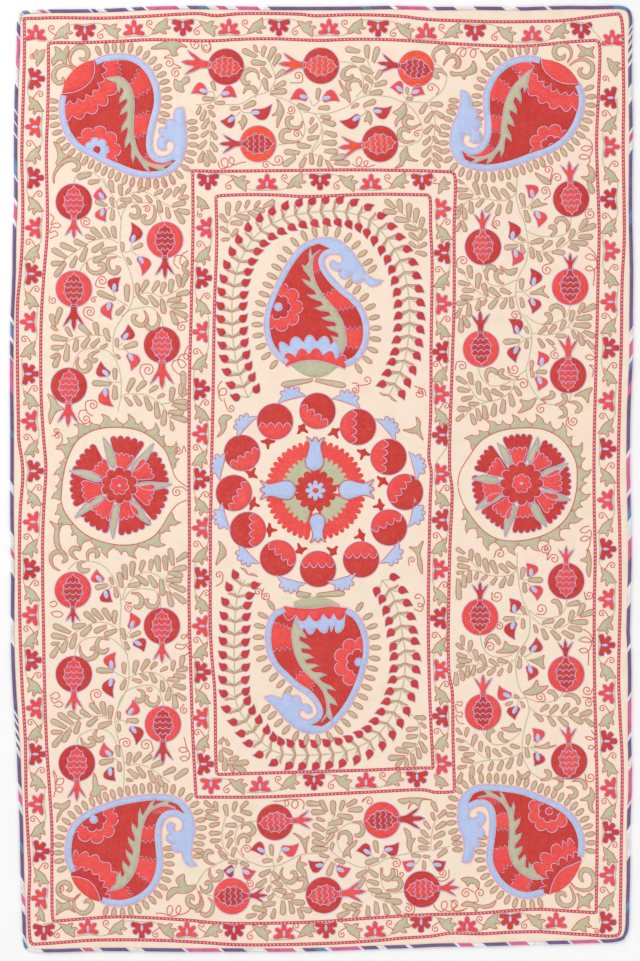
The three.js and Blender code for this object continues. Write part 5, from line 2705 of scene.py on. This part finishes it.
RIGHT_UPPER = FieldPart(
    stems="""
    517,178 516,195 519,210 524,222 527,235 528,248 526,262 520,273 516,285 516,298 519,310 526,320 \
    531,330 531,345 529,358 526,370 529,383 536,395 545,403 560,405 569,400 571,393
    517,192 511,198 500,201 485,199 470,200 463,206 459,214
    480,198 470,190 462,181
    525,230 535,235 550,237 563,235 569,230 571,218
    528,241 535,250 548,252 560,248 570,240 578,233 588,228
    516,280 505,285 495,286 487,282 484,273 482,266
    516,296 505,298 490,297 478,292 470,283 463,272
    487,297 475,299 465,304 460,312
    525,315 533,321 545,325 557,322 566,316 570,306
    531,333 545,335 557,333 567,327 576,317 582,310
    567,327 577,331 586,338
    526,370 515,378 505,384 492,386 483,380 479,372 478,367
    514,380 513,388 505,396 492,401 478,399 468,385 460,377
    492,401 480,404 470,410 463,418
    520,208 528,207 533,199
    528,208 535,212
    527,242 518,243 512,240
    518,245 515,249
    516,292 525,291 533,286
    524,293 531,298
    531,338 523,338 518,333
    523,340 518,346
    528,370 535,372 541,366
    534,372 538,376
    """,
    leaves="""
    468,190>456,190 473,196>458,197 464,184>457,180 479,195>474,182 488,198>483,184 500,200>492,187
    510,199>501,189 516,192>507,183 463,204>456,211 471,201>471,214 484,199>476,207 494,203>485,212
    500,204>497,216 511,200>508,214 464,207>465,220 461,210>456,219 461,220>466,232 460,223>456,232
    524,207>521,193 525,210>529,223 530,243>544,240 542,249>552,241 525,241>518,237 518,246>504,248
    521,244>524,254 531,247>533,259 537,251>541,262 544,253>553,262 556,247>564,238 552,252>565,253
    568,246>579,250 570,242>588,244 569,240>574,229 579,231>587,219 580,231>596,225 578,237>593,237
    521,290>522,278 465,274>458,269 471,279>469,265 470,285>458,282 477,289>479,273 475,291>462,290
    487,296>483,283 500,297>489,288 511,294>500,289 473,298>460,297 480,299>477,311 468,302>456,304
    469,303>469,317 487,299>481,306 498,298>489,309 507,298>501,309 511,297>512,309 521,297>523,308
    461,308>456,318 463,315>469,328 461,318>461,333 588,180>593,194 528,334>525,326 520,341>503,342
    527,339>526,349 538,334>547,327 548,334>556,325 560,331>565,320 555,336>566,336 538,338>544,348
    546,339>554,345 570,322>573,310 578,314>584,303 582,312>596,305 576,319>592,317 573,325>591,326
    572,330>576,339 579,332>583,346 583,331>595,337 586,340>594,349 531,370>532,360 531,369>533,378
    536,372>547,372 467,384>456,377 472,385>469,372 470,391>457,389 479,395>478,381 473,397>461,400
    491,401>484,388 503,396>491,390 511,388>500,388 514,386>521,396 510,393>513,407 504,399>502,414
    495,403>493,417 484,405>486,420 477,408>480,421 479,404>468,404 471,409>457,409 471,413>475,425
    464,414>456,421
    """,
    commas="""
    566,232 568,225 563,219 557,220 556,225
    550,236 555,232 553,227 548,228
    488,281 486,273 489,267 494,268 496,272
    504,284 498,281 496,275 499,271 503,274
    564,318 563,310 557,306 551,308 551,312
    543,325 550,321 549,315 544,314
    488,383 486,375 489,370 495,371 497,375
    511,379 503,377 500,373 504,369
    541,399 548,398 553,395 550,391
    554,405 563,403 565,397 561,394
    568,402 576,403 580,408 575,413
    558,418 565,415 564,409 559,407
    """,
    lobed="""
    531,208 534,202 538,199 541,203 547,204 541,206 537,207
    500,266 508,270 517,268 515,274 508,275 503,270
    530,294 537,290 545,286 543,291 549,298 541,295
    574,396 582,391 592,388 589,395 588,403 585,399 581,396
    520,400 528,401 536,398 532,407 525,411 518,413 523,406
    """,
    curls="""
    497,224 4.0 -1.3 497,229 492,226 493,220 497,214
    545,191 4.5 1.4 550,195 544,200
    590,214 5.2 1.4 586,210 592,209
    463,261 4.6 -1.3 457,260 457,268
    547,270 5.5 1.4 552,263
    515,315 4.5 1.4 521,318 515,322
    555,355 4.8 1.4 556,349 552,347
    514,369 5.2 1.3 508,366 509,374 517,377
    523,384 5.4 -1.3 516,380 519,376
    462,366 4.6 -1.3 457,362 455,370
    541,409 4.8 1.3 546,403 542,400
    """,
    loops="""
    588,247 594,253 596,259 590,260 585,257 590,254 596,260 596,268 590,271 585,269 589,266 594,270 \
    594,278 593,286
    593,351 596,357 590,360 585,357 590,355 596,360 594,366 589,365 593,369 592,377
    """,
    buds="""
    533,198>525,185+S 536,211>538,228-S 512,240>508,221+C 515,249>512,266-S 533,286>530,268+C
    531,298>532,314-C 518,334>508,319+C 518,346>516,363+C 541,366>538,351+S 538,376>538,391-S
    """,
)

RIGHT_LOWER = FieldPart(
    stems="""
    517,553 517,565 518,578 520,590 524,603 529,613 530,625 528,637 521,648 516,657 516,672 519,687 \
    526,698 529,710 526,722 523,735 522,750 525,762 531,772 540,778 548,779 560,778 570,777
    517,570 510,575 495,576 485,574 475,566 468,556
    483,573 470,570 458,575
    529,610 538,617 550,618 560,615 565,608 567,599
    532,617 542,625 555,628 566,625 575,617 583,610
    480,634 482,645 487,653 495,657 508,656 518,650
    514,660 505,664 492,667 480,664 470,655 462,646
    478,665 465,666 457,672
    525,697 535,701 548,702 558,698 563,692
    529,707 538,714 552,716 568,716 580,717 590,716
    482,729 486,738 493,744 503,744 514,738 522,730
    522,752 512,757 495,760 482,756 470,745 462,738
    490,760 478,762 468,768
    519,579 526,580 531,577
    525,582 531,586
    528,615 519,614 514,613
    519,617 514,621
    517,656 526,656 532,652
    525,657 529,665
    526,697 518,699 511,697
    519,700 517,706
    523,747 532,747 538,742
    531,748 537,752
    """,
    leaves="""
    465,554>456,548 471,561>471,549 479,567>477,553 488,573>484,558 497,574>491,560 509,573>499,564
    516,569>506,562 469,561>457,558 470,568>457,565 464,572>456,573 470,570>469,583 464,574>464,588
    458,578>459,600 478,571>475,580 488,575>481,580 497,577>491,585 506,577>500,588 513,574>509,586
    521,579>524,567 524,582>525,593 528,580>543,580 526,615>521,606 515,618>503,619 523,618>523,629
    534,624>537,633 542,623>554,620 554,628>564,619 569,622>573,610 578,616>584,603 580,616>594,611
    571,622>588,622 568,627>582,630 562,631>574,638 551,630>560,640 542,628>547,640 521,655>525,646
    520,657>519,669 463,646>462,635 463,650>456,643 469,652>471,640 478,661>474,649 486,666>481,654
    498,666>489,659 508,662>497,660 467,657>456,654 472,661>457,660 465,664>456,667 461,669>463,681
    468,665>467,678 475,665>472,676 487,666>477,672 496,668>487,675 503,668>498,676 511,663>509,673
    456,672>456,686 513,702>505,705 521,701>524,708 519,698>514,695 540,711>549,705 549,714>558,705
    561,713>569,703 568,714>578,708 579,715>592,711 534,713>543,721 548,716>555,726 558,717>568,726
    570,716>583,723 584,718>594,726 527,745>529,734 526,747>528,758 465,737>468,727 462,735>456,728
    472,746>476,734 464,742>456,739 469,749>458,748 480,752>481,741 489,758>487,746 501,757>493,749
    512,755>502,748 520,748>510,745 475,754>463,755 474,762>461,759 467,766>457,768 462,772>458,784
    473,765>471,778 483,764>478,773 493,761>489,771 503,760>498,771 513,757>507,769 521,753>519,766
    567,605>580,602
    """,
    commas="""
    560,615 560,607 556,601 551,602
    485,646 487,639 493,636 498,641 499,645
    554,701 556,697 552,692 547,692
    563,696 572,695 578,700 578,705
    491,742 488,737 490,731 495,731
    509,741 503,740 500,735 503,732
    517,770 521,777 527,775 529,771
    540,780 548,778 549,773 544,770
    555,779 560,778 562,783
    """,
    lobed="""
    496,652 503,648 505,641 509,645 519,647 513,652 504,653
    588,549 591,560 589,577 586,570 587,563 580,560 586,557
    529,660 538,660 544,655 543,661 544,669 538,665
    523,693 532,687 537,680 539,686 548,686 541,692 532,695
    501,728 509,727 513,723 516,728 521,729 514,732 506,731
    534,747 543,745 549,742 549,746 556,745 548,748
    """,
    curls="""
    500,554 5.0 -1.3 494,558
    497,596 6.0 1.4 492,592 492,600
    541,609 6.0 1.4 536,614
    499,626 4.0 -1.3 496,622
    490,647 5.0 -1.3 485,648 488,641
    554,559 5.0 -1.3 547,560 549,552
    545,549 4.0 -1.3 548,553
    589,595 4.6 1.4 584,592 586,600
    540,697 4.6 1.3 545,700 537,702
    587,690 5.0 -1.3 593,688 593,697 582,697
    589,703 4.6 1.3 593,702
    590,777 5.2 1.3 585,774 586,785
    """,
    loops="""
    583,629 590,634 592,641 585,642 579,640 585,637 591,641 589,650 583,653 579,650 585,648 588,652 \
    588,665
    591,730 595,737 590,740 585,737 591,737 596,743 592,749 588,748 590,745 595,748 594,757
    456,702 462,702 461,706 456,704 457,712 462,712 461,717 456,715 458,722 464,724
    """,
    buds="""
    531,577>526,563+S 531,586>537,601-S 514,613>509,598+C 514,621>515,640+C 531,652>536,637+C
    529,665>528,681-C 511,697>499,685-S 517,706>515,720+C 538,742>532,728+S 537,752>534,766-C
    """,
)

BOTTOM_BAND = FieldPart(
    stems="""
    228,812 224,822 222,835 224,848 230,855 240,860 250,862 262,866 275,866 290,860 300,855 315,853 \
    328,855
    256,821 246,822 238,827 235,838 237,848 242,856 250,862
    200,878 206,870 213,866 222,861 232,859
    275,867 271,876 272,888 277,896 288,900 298,906
    283,867 281,874 285,884 292,890 305,891
    335,815 330,823 326,835 328,846 336,855 348,862 360,867 375,865 385,859 400,855 415,852 430,850
    363,820 350,823 341,828 337,838 339,848 345,855
    369,867 366,876 367,886 373,895 382,900 392,903
    380,868 381,880 385,890 395,893 404,891
    437,815 433,828 431,840 432,850 440,848 450,846
    200,878 196,888 206,894 213,896
    272,860 274,866
    277,862 281,850
    271,862 265,853
    238,862 235,868
    240,863 242,869
    329,857 324,864
    334,858 336,866
    380,858 384,851
    377,860 371,855
    422,856 416,864
    426,855 433,863
    """,
    leaves="""
    213,808>204,801 217,812>215,801 227,816>225,804 233,812>236,801 240,809>248,801 240,811>252,814
    232,816>244,821 215,811>205,811 219,819>205,816 225,825>237,825 220,823>209,826 221,833>209,833
    225,838>233,831 227,848>232,838 221,840>210,841 222,849>215,845 232,857>235,847 227,856>218,851
    228,859>220,855 272,856>271,844 273,860>262,861 277,862>282,856 240,862>249,866 228,862>238,862
    271,870>259,876 267,879>256,887 272,871>279,880 272,881>283,886 274,889>287,892 270,885>267,892
    274,893>268,900 282,897>295,895 276,903>262,905 283,900>283,915 290,901>293,914 290,901>305,903
    299,908>312,911 298,908>303,919 275,908>272,919 267,911>252,907 267,912>258,919 257,914>246,917
    322,804>306,803 326,812>311,812 325,821>316,818 325,831>313,824 324,839>312,833 326,845>312,841
    328,849>311,849 329,857>319,854 327,812>320,800 333,815>333,800 340,811>344,800 346,806>357,800
    348,810>363,809 337,815>353,818 328,824>343,821 326,833>338,828 326,842>334,833 331,851>333,842
    377,853>375,840 379,859>365,863 380,857>386,855 367,870>356,877 368,869>378,877 365,877>357,888
    367,880>379,884 368,889>382,892 375,895>391,896 385,900>402,902 376,901>377,915 384,903>388,915
    392,904>400,914 368,905>368,917 360,909>353,918 357,910>342,905 350,911>337,917 362,906>351,904
    335,859>345,863 333,862>328,876 437,812>432,801 434,821>432,812 438,818>446,810 435,829>446,822
    433,838>445,832 430,829>424,821 429,838>421,830 429,844>418,838 429,848>418,847 434,848>442,841
    437,857>447,849 430,857>423,856 421,856>411,855 424,860>424,870
    """,
    commas="""
    241,829 244,824 250,824 254,830 251,834 247,834
    238,845 239,838 244,835 249,838 246,843
    215,864 208,862 205,857 208,851 214,853
    210,868 210,875 215,880 221,876 220,871 216,872
    200,885 203,891 208,891 211,886 208,882 205,885
    283,867 281,874 284,880 291,882 296,877 294,872 290,873
    291,890 298,891 304,888 306,882 302,878 298,881
    201,896 202,903 199,909 195,911
    208,897 213,903 211,912 206,915 200,912
    352,822 360,823 363,829 360,835 354,835
    338,840 340,834 346,832 350,836 350,842 347,844
    382,867 382,876 388,879 393,874 392,868
    386,890 398,889 401,883 397,878 391,880
    """,
    lobed="""
    293,833 300,836 304,839 309,836 307,843 306,853 303,845 299,838
    301,856 297,863 297,869 301,873 307,879 305,870 302,867 307,864 300,861
    357,840 350,845 345,850 343,857 348,855 351,858 350,850 355,845
    404,828 410,832 412,839 415,838 412,845 411,852 407,846 407,838
    398,800 404,804 410,801 408,809 413,803 419,806 422,800 432,800 420,798 408,798
    """,
    curls="""
    247,849 4.4 -1.4 241,850 244,856
    250,884 4.2 -1.3 246,884 250,890 256,887
    396,863 5.0 -1.4 391,858 395,856
    401,874 3.6 1.2 397,870 392,868
    442,873 4.5 1.4 437,877 440,881 448,878 449,869
    408,908 4.2 -1.3 406,903 414,906 413,913 404,913
    369,801 4.5 -1.3 362,802 364,798
    """,
    loops="""
    273,801 280,801 287,800 289,804 286,806 285,801 292,799 298,802 296,808 292,807 293,801 300,799 \
    304,803 303,809
    433,903 436,909 442,911 447,906 446,901 442,902 442,908 450,911 456,905 453,901 451,906 456,911 \
    464,910
    """,
    buds="""
    265,852>250,850+C 281,849>299,843+S 234,868>223,870-C 242,870>256,871+S 324,865>308,860-C
    371,854>356,851+C 384,850>399,842+C 336,868>351,868+S 415,864>402,861-S 433,864>446,861+C
    """,
)

PANEL_CORNERS = FieldPart(
    stems="""
    253,210 240,213 231,218 227,226 231,236
    400,212 410,220 418,230 419,241 416,249
    223,737 222,748 225,758 233,764
    410,713 418,722 420,735 416,747 406,756
    """,
    leaves="""
    228,216>228,202 236,212>240,201 245,209>249,200 254,208>260,201 263,207>275,201 253,209>265,211
    248,212>258,217 235,215>250,219 227,223>220,214 230,223>243,223 229,233>220,227 231,237>238,229
    230,239>221,240 396,209>385,200 401,213>399,199 409,218>409,203 415,223>417,208 420,230>423,217
    420,240>426,229 418,248>427,243 415,252>427,255 397,213>383,211 410,221>394,219 418,230>404,226
    419,241>409,233 417,248>409,242 224,737>219,744 225,738>229,746 222,748>233,754 221,750>221,762
    228,760>239,757 225,757>225,771 232,764>249,762 233,765>246,772 229,763>234,772 414,717>426,718
    420,722>426,728 418,728>406,730 420,733>427,739 418,736>406,737 416,745>402,745 420,741>426,753
    409,752>395,749 417,747>420,759 412,753>414,766 405,757>388,758 403,758>396,767 406,757>407,768
    """,
    curls="""
    355,390 3.8 -1.4 358,384 352,383
    367,380 4.6 1.2 356,386
    266,597 4.0 -1.3 262,594 264,588
    """,
    loops="""
    222,381 218,387 220,395 226,394 226,389 221,389 219,396 222,401
    420,598 415,598 417,594 423,597 424,604 419,607 418,603 423,605 421,611 414,609
    414,386 421,389 423,396 418,397 416,393 421,392
    """,
)

CORNER_ORNAMENTS = FieldPart(
    stems="""
    74,186 75,178 80,173 90,172 100,178 107,188
    """,
    leaves="""
    92,174>77,178 100,181>88,183 313,380>281,385 315,380>346,386 311,595>296,594 316,595>345,593
    """,
    commas="""
    54,184 54,176 58,168 66,161 74,160 79,165 77,170 72,170
    78,69 71,64 70,57 74,50 80,47 87,50 88,56 84,60 79,58
    75,71 68,66 61,66 55,71 54,78 58,83 63,82 63,77
    567,63 571,56 570,49 564,45 557,46 554,52 557,58 563,58 565,54
    569,66 576,61 585,60 592,65 592,72 588,77 582,76 579,71 583,68
    451,57 457,57 459,62 457,67 453,66
    81,893 74,899 66,898 59,893 59,886 65,882 70,885 70,890 66,890
    79,894 74,901 76,909 84,913 90,909 92,904 88,900 84,903
    198,891 201,897 200,904 195,907 189,904 188,898 192,896 194,900
    570,882 576,888 585,890 592,887 594,879 590,871 583,870 580,876 583,882
    569,885 573,893 574,900 570,905 563,905 558,900 558,894 563,893 566,897
    552,778 559,779 561,784 557,788 553,788
    572,781 580,780 585,785 584,790
    566,787 573,788 576,793 572,797 568,795
    """,
    lobed="""
    66,65 60,60 53,66 52,60 56,54 55,47 60,49 63,52 68,46 69,52 67,58
    151,49 160,44 170,41 178,42 187,47.5 180,47 176,52 178,55 172,56 169,50
    175,79 180,82 184,78 189,77 189,82 183,86 184,92 176,90 174,84
    577,45 583,47 588,49 594,47 592,52 594,58 588,56 578,57 581,51
    480,51 486,54 492,50 499,50 493,54 489,57 486,61 484,56
    450,72 458,73 465,71 471,66 473,61 476,66 476,72 470,75 466,76 464,80 461,76 452,76
    535,173 542,176 548,179 551,184 545,184 540,180
    587,165 593,169 595,176 592,183 585,180 581,177 588,176 589,171
    56,899 62,903 67,902 69,899 71,906 75,912 69,909 64,910 56,915 60,909 62,905
    167,900 168,892 173,887 179,887 176,880 179,876 184,874 185,880 187,885 196,885 193,890 186,893 \
    176,893
    94,773 97,779 98,785 104,786 107,789 101,790 100,796 90,795 93,789 93,781
    55,803 62,804 70,800 69,806 63,811 59,818 57,822 58,814 61,809 54,807
    577,893 583,897 590,893 593,897 589,903 590,908 583,905 577,909 579,901
    461,879 467,877 474,878 479,882 478,889 475,884 470,883 468,886 465,882
    461,905 467,901 474,903 483,905 491,903 496,900 493,906 484,908 478,907 476,912 473,907 466,906
    590,787 594,793 594,799 592,806 594,813 589,809 587,801 580,800 586,797 590,793
    54,142 60,146 63,153 69,156 63,160 62,166 56,164 58,158 57,150
    217,437 221,430 219,420 224,415 232,417 227,421 226,428 222,434
    403,430 411,429 417,425 416,417 420,421 420,430 423,440 417,434 411,433
    216,565 218,556 220,549 219,541 225,548 226,555 221,560
    423,541 417,547 409,547 414,551 417,556 418,566 422,574 422,562 420,554
    48,394 54,398 59,405 64,409 58,411 55,414 52,420 50,424 49,414 51,405
    50,521 56,524 63,523 60,529 59,538 61,547 66,555 57,549 54,538 55,529
    """,
    curls="""
    33,57 2.8 1.2 36,52
    605,79 3.2 1.2 609,82
    596,931 2.8 -1.2 592,928
    200,215 2.8 1.2 198,211
    434,180 3.4 -1.2 439,184
    169,63 5.0 -1.3 164,58 170,55
    176,73 5.0 1.4 181,68 174,64
    206,47 5.5 -1.2 200,42
    548,170 4.5 1.3 551,176 550,182
    557,178 5.0 -1.3 551,182
    466,893 5.0 1.4 474,892
    480,893 5.0 -1.3 478,901 471,902
    178,450 4.5 -1.4 184,446 186,452
    177,492 5.0 1.4 182,487 187,491
    573,421 5.0 1.4 568,417 566,424 572,430
    56,431 3.4 1.2 52,436
    547,548 4.0 1.3 546,555
    61,888 3.4 1.2 57,893
    231,408 4.0 1.3 226,406 224,399
    421,392 4.0 1.2 426,396
    258,592 4.0 1.3 262,598 268,600
    412,560 3.6 -1.2 409,566
    219,575 4.0 1.3 222,582 216,586
    58,436 4.0 1.3 62,442 56,447
    """,
    loops="""
    455,54 458,49 464,48 466,52 463,57 460,55 462,50 469,48 474,49 476,53 473,58 470,55 472,50 479,49
    585,138 591,142 592,147 586,151 581,149 585,146 592,148 591,154 587,159 579,158 581,155 588,156 \
    590,160 587,166
    156,913 163,913 169,915 173,909 170,905 167,909 169,915 177,915 181,909 179,905 176,909 178,914 \
    187,912 191,907
    53,771 55,778 56,784 62,784 64,779 60,778 56,783 56,790 61,792 63,788 58,787 55,792 54,797
    589,526 584,527 580,531 585,533 590,530 591,537 584,536 580,540 585,541 590,538 589,546 586,551
    450,901 456,900 457,906 452,908 454,911 461,910 467,908
    """,
)


@dataclass
class Field:
    """The vines, leaves, curls and buds between the borders.

    Attributes:
        name: the piece's name.
        seed: for its tones.
        parts: the parts of the field that it covers.
        stem_width: a stem's width.
        leaf_share: a leaf's width as a share of its length.
        narrowest: the least width of a leaf.
        widest: the greatest width of a leaf.
    """

    name: str
    seed: int
    parts: tuple[FieldPart, ...]
    stem_width: float = 0.9
    leaf_share: float = 0.39
    narrowest: float = 3.2
    widest: float = 5.8

    def build(self) -> Needlework:
        """Works every part.

        Returns:
            The piece, not yet laid on the cloth.
        """
        work = Needlework(self.name, self.seed)
        for part in self.parts:
            self.part(work, part)
        return work

    def part(self, work: Needlework, part: FieldPart) -> None:
        """Works one part.

        Args:
            work: the piece that it is worked on.
            part: the part's places.
        """
        for row in rows_of(part.stems):
            work.line(smooth(charted(row), step=2.4), Thread.STEM, self.stem_width)
        for base, tip in strokes(part.leaves):
            width = min(self.widest, max(self.narrowest, abs(tip - base) * self.leaf_share))
            work.bordered(petal(base, tip, width), Thread.SAGE, Thread.MADDER, 0, bearing(tip - base))
        for row in rows_of(part.commas):
            comma(work, charted(row))
        for row in rows_of(part.lobed):
            outline = smooth(charted(row), True, 1.3)
            work.bordered(outline, Thread.SAGE, Thread.MADDER, 0, 60, 1.0)
        for row in rows_of(part.curls):
            centre, radius, turns, *tail = row.split()
            curl(work, charted(centre)[0], float(radius), float(turns), charted(" ".join(tail)))
        for row in rows_of(part.loops):
            work.line(smooth(charted(row), step=1.6), Thread.MADDER, 1.0)
        for token in part.buds.split():
            (base, tip), = strokes(token[:-2])
            bud(work, base, tip, 1 if token[-2] == "+" else -1, RED[token[-1]])


@dataclass
class SeedBranches:
    """The two branches of red seeds that bend round the centre paisleys.

    Attributes:
        spacing: from one pair of seeds to the next.
        reach: from the stem to a seed's middle.
        seed_length: a seed's length.
        seed_width: a seed's width.
        hook: how strongly its point is bent.
    """

    spacing: float = 12.7
    reach: float = 11.3
    seed_length: float = 11.0
    seed_width: float = 8.4
    hook: float = 13.0

    # How far on a twig reaches along its stem, how far it stops short of the seed's middle, and how far
    # on from the seed the next thin blade grows.
    TWIG = 5.0
    SEED_IN = 4.5
    BLADE_ON = 6.3

    BRANCHES = """
        248,398 243,385 238,370 235,355 233,340 232,320 232,300 234,285 237,270 243,255 252,240 265,228 \
        280,220 295,215 315,212 335,211 350,213 365,218 378,228 388,240 396,252 402,265 406,280 409,300 \
        409.5,320 408,340 405,358 400,372 394,385 388,397
        382,580 391,592 396,605 399,615 401,625 403,640 405,650 405,665 404,680 401,692 398,703 392,715 \
        385,726 375,737 362,745 350,750 335,753 315,755 300,755 285,754 272,750 262,742 255,733 248,724 \
        242,715 237,705 235,695 234,680 234.5,665 234,650 234.5,635 235,620 236,605 239,592 245,580
    """

    def build(self) -> Needlework:
        """Works both branches.

        Returns:
            The piece, not yet laid on the cloth.
        """
        work = Needlework("seed_branches", 91)
        for text in rows_of(self.BRANCHES):
            stem = smooth(charted(text), step=2.4)
            work.line(stem, Thread.STEM, 1.3)
            for place, way in along(stem, self.spacing, self.TWIG):
                for side in (1, -1):
                    normal = way * 1j * side
                    self.seed(work, place + normal * self.reach, normal + way * 0.35, side)
                    twig = [place - way * self.TWIG, place + normal * (self.reach - self.SEED_IN)]
                    work.line(twig, Thread.STEM)
                    root = place + way * self.BLADE_ON
                    blade = leaf(root, root + normal * 10 + way * 2.6, 2.0, -1.3 * side)
                    work.bordered(blade, Thread.SAGE, Thread.MADDER, 0, 0, 0.6)
        return work

    def seed(self, work: Needlework, centre: Point, toward: Point, side: int) -> None:
        """Works one seed, with a hooked point at its outer end.

        Args:
            work: the piece that it is worked on.
            centre: near the seed's middle.
            toward: the direction of its point.
            side: 1 for a seed on the right of its stem as drawn, or -1.
        """
        way = toward / abs(toward) * self.seed_length
        foot = centre - way * 0.45
        half_width = self.seed_width / 2
        outline = two_sided(
            foot, foot + way, 10,
            lambda t: half_width * min(1.0, (t / 0.3) ** 0.5) * (1 - max(0.0, (t - 0.42) / 0.58) ** 1.5),
            lambda t: -side * self.hook * max(0.0, t - 0.5) ** 2,
        )
        work.bordered(outline, Thread.CRIMSON, Thread.LILAC, 0, 0, 0.7)


# The studio


@dataclass
class Studio:
    """A pale floor, soft light from above and a camera straight over the cloth.

    Attributes:
        lens_mm: the camera's lens.
        sensor_mm: the longer side of its sensor.
        floor_m: the floor's width.
        sky: the strength of the even light.
        lamp_m: the width of a soft light.
        lamps: the soft lights: name, place and power.
    """

    lens_mm: float = 85.0
    sensor_mm: float = 36.0
    floor_m: float = 12.0
    sky: float = 0.61
    lamp_m: float = 2.5
    lamps: tuple[tuple[str, tuple[float, float, float], float], ...] = (
        ("window_light", (-2.6, 2.4, 2.6), 88.0),
        ("fill_light", (2.4, -2.6, 3.0), 46.0),
    )

    def build(self) -> None:
        """Sets the studio up."""
        bm = bmesh.new()
        bmesh.ops.create_grid(bm, x_segments=1, y_segments=1, size=self.floor_m / 2)
        floor = piece_of("studio_floor", bm)
        paper = NodeSheet("white_paper")
        paper.shader.inputs["Base Color"].default_value = linear("#fdfdfd")
        paper.shader.inputs["Roughness"].default_value = 0.95
        floor.data.materials.append(paper.material)
        world = bpy.data.worlds.new("studio_light")
        world.use_nodes = True
        world.node_tree.nodes["Background"].inputs["Color"].default_value = (1, 1, 1, 1)
        world.node_tree.nodes["Background"].inputs["Strength"].default_value = self.sky
        bpy.context.scene.world = world
        bpy.context.scene.view_settings.view_transform = "Standard"
        for name, place, watts in self.lamps:
            lamp = bpy.data.lights.new(name, "AREA")
            lamp.size = self.lamp_m
            lamp.energy = watts
            window = bpy.data.objects.new(name, lamp)
            window.location = place
            window.rotation_euler = (-Vector(place)).to_track_quat("-Z", "Y").to_euler()
            bpy.context.scene.collection.objects.link(window)
        self.camera()

    def camera(self) -> None:
        """Hangs the camera over the middle of the photograph's frame."""
        lens = bpy.data.cameras.new("camera")
        lens.lens = self.lens_mm
        lens.sensor_width = self.sensor_mm
        lens.sensor_height = self.sensor_mm
        tall = PHOTO_HEIGHT_PX * MM_PER_PX * MM
        camera = bpy.data.objects.new("camera", lens)
        camera.location = (*on_cloth(PHOTO_CENTRE), tall * self.lens_mm / self.sensor_mm)
        bpy.context.scene.collection.objects.link(camera)
        bpy.context.scene.camera = camera


def main() -> None:
    """Builds the cloth, its binding and its needlework, and then the studio."""
    logging.basicConfig(level=logging.INFO, format="%(message)s")
    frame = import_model()
    cloth = GroundCloth().build(frame["nodes"]["ground_cloth"])
    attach(cloth, "root")
    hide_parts("ground_cloth")
    surface = ClothSurface(cloth)
    floss = FlossFinish()
    dyes = {thread: floss.dress(thread.value) for thread in Thread}
    works = [
        RopeLines().build(),
        Border("outer_border_embroidery", 21, OUTER_SIDES).build(),
        Border(
            "inner_border_embroidery", 31, INNER_SIDES, swing=6.5,
            corner_leaves=(("197,196>207,208 438,194>445,179 434,774>446,785", False),),
        ).build(),
        Pomegranates().build(),
        Medallion().build(),
        SideRosettes().build(),
        Paisleys("corner_paisleys", CORNER_PAISLEYS).build(),
        Paisleys(
            "centre_paisleys", CENTRE_PAISLEYS, band=5.6, tooth=16.0, fringe_step=9.6, fringe_reach=11.0
        ).build(),
        SeedBranches().build(),
        Field("side_field_vines", 101, (LEFT_UPPER, LEFT_LOWER, RIGHT_UPPER, RIGHT_LOWER)).build(),
        Field("end_field_vines", 111, (TOP_BAND, BOTTOM_BAND, PANEL_CORNERS, CORNER_ORNAMENTS)).build(),
    ]
    silk = SilkFinish()
    silks = {stripe: silk.dress(stripe) for stripe in Stripe}
    for binding in BINDINGS:
        strip = binding.build(frame["nodes"][binding.node], silks)
        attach(strip, "root")
        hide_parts(binding.node)
    for work in works:
        piece = work.finish(surface, dyes)
        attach(piece, "root")
    Studio().build()


if __name__ == "__main__":
    main()
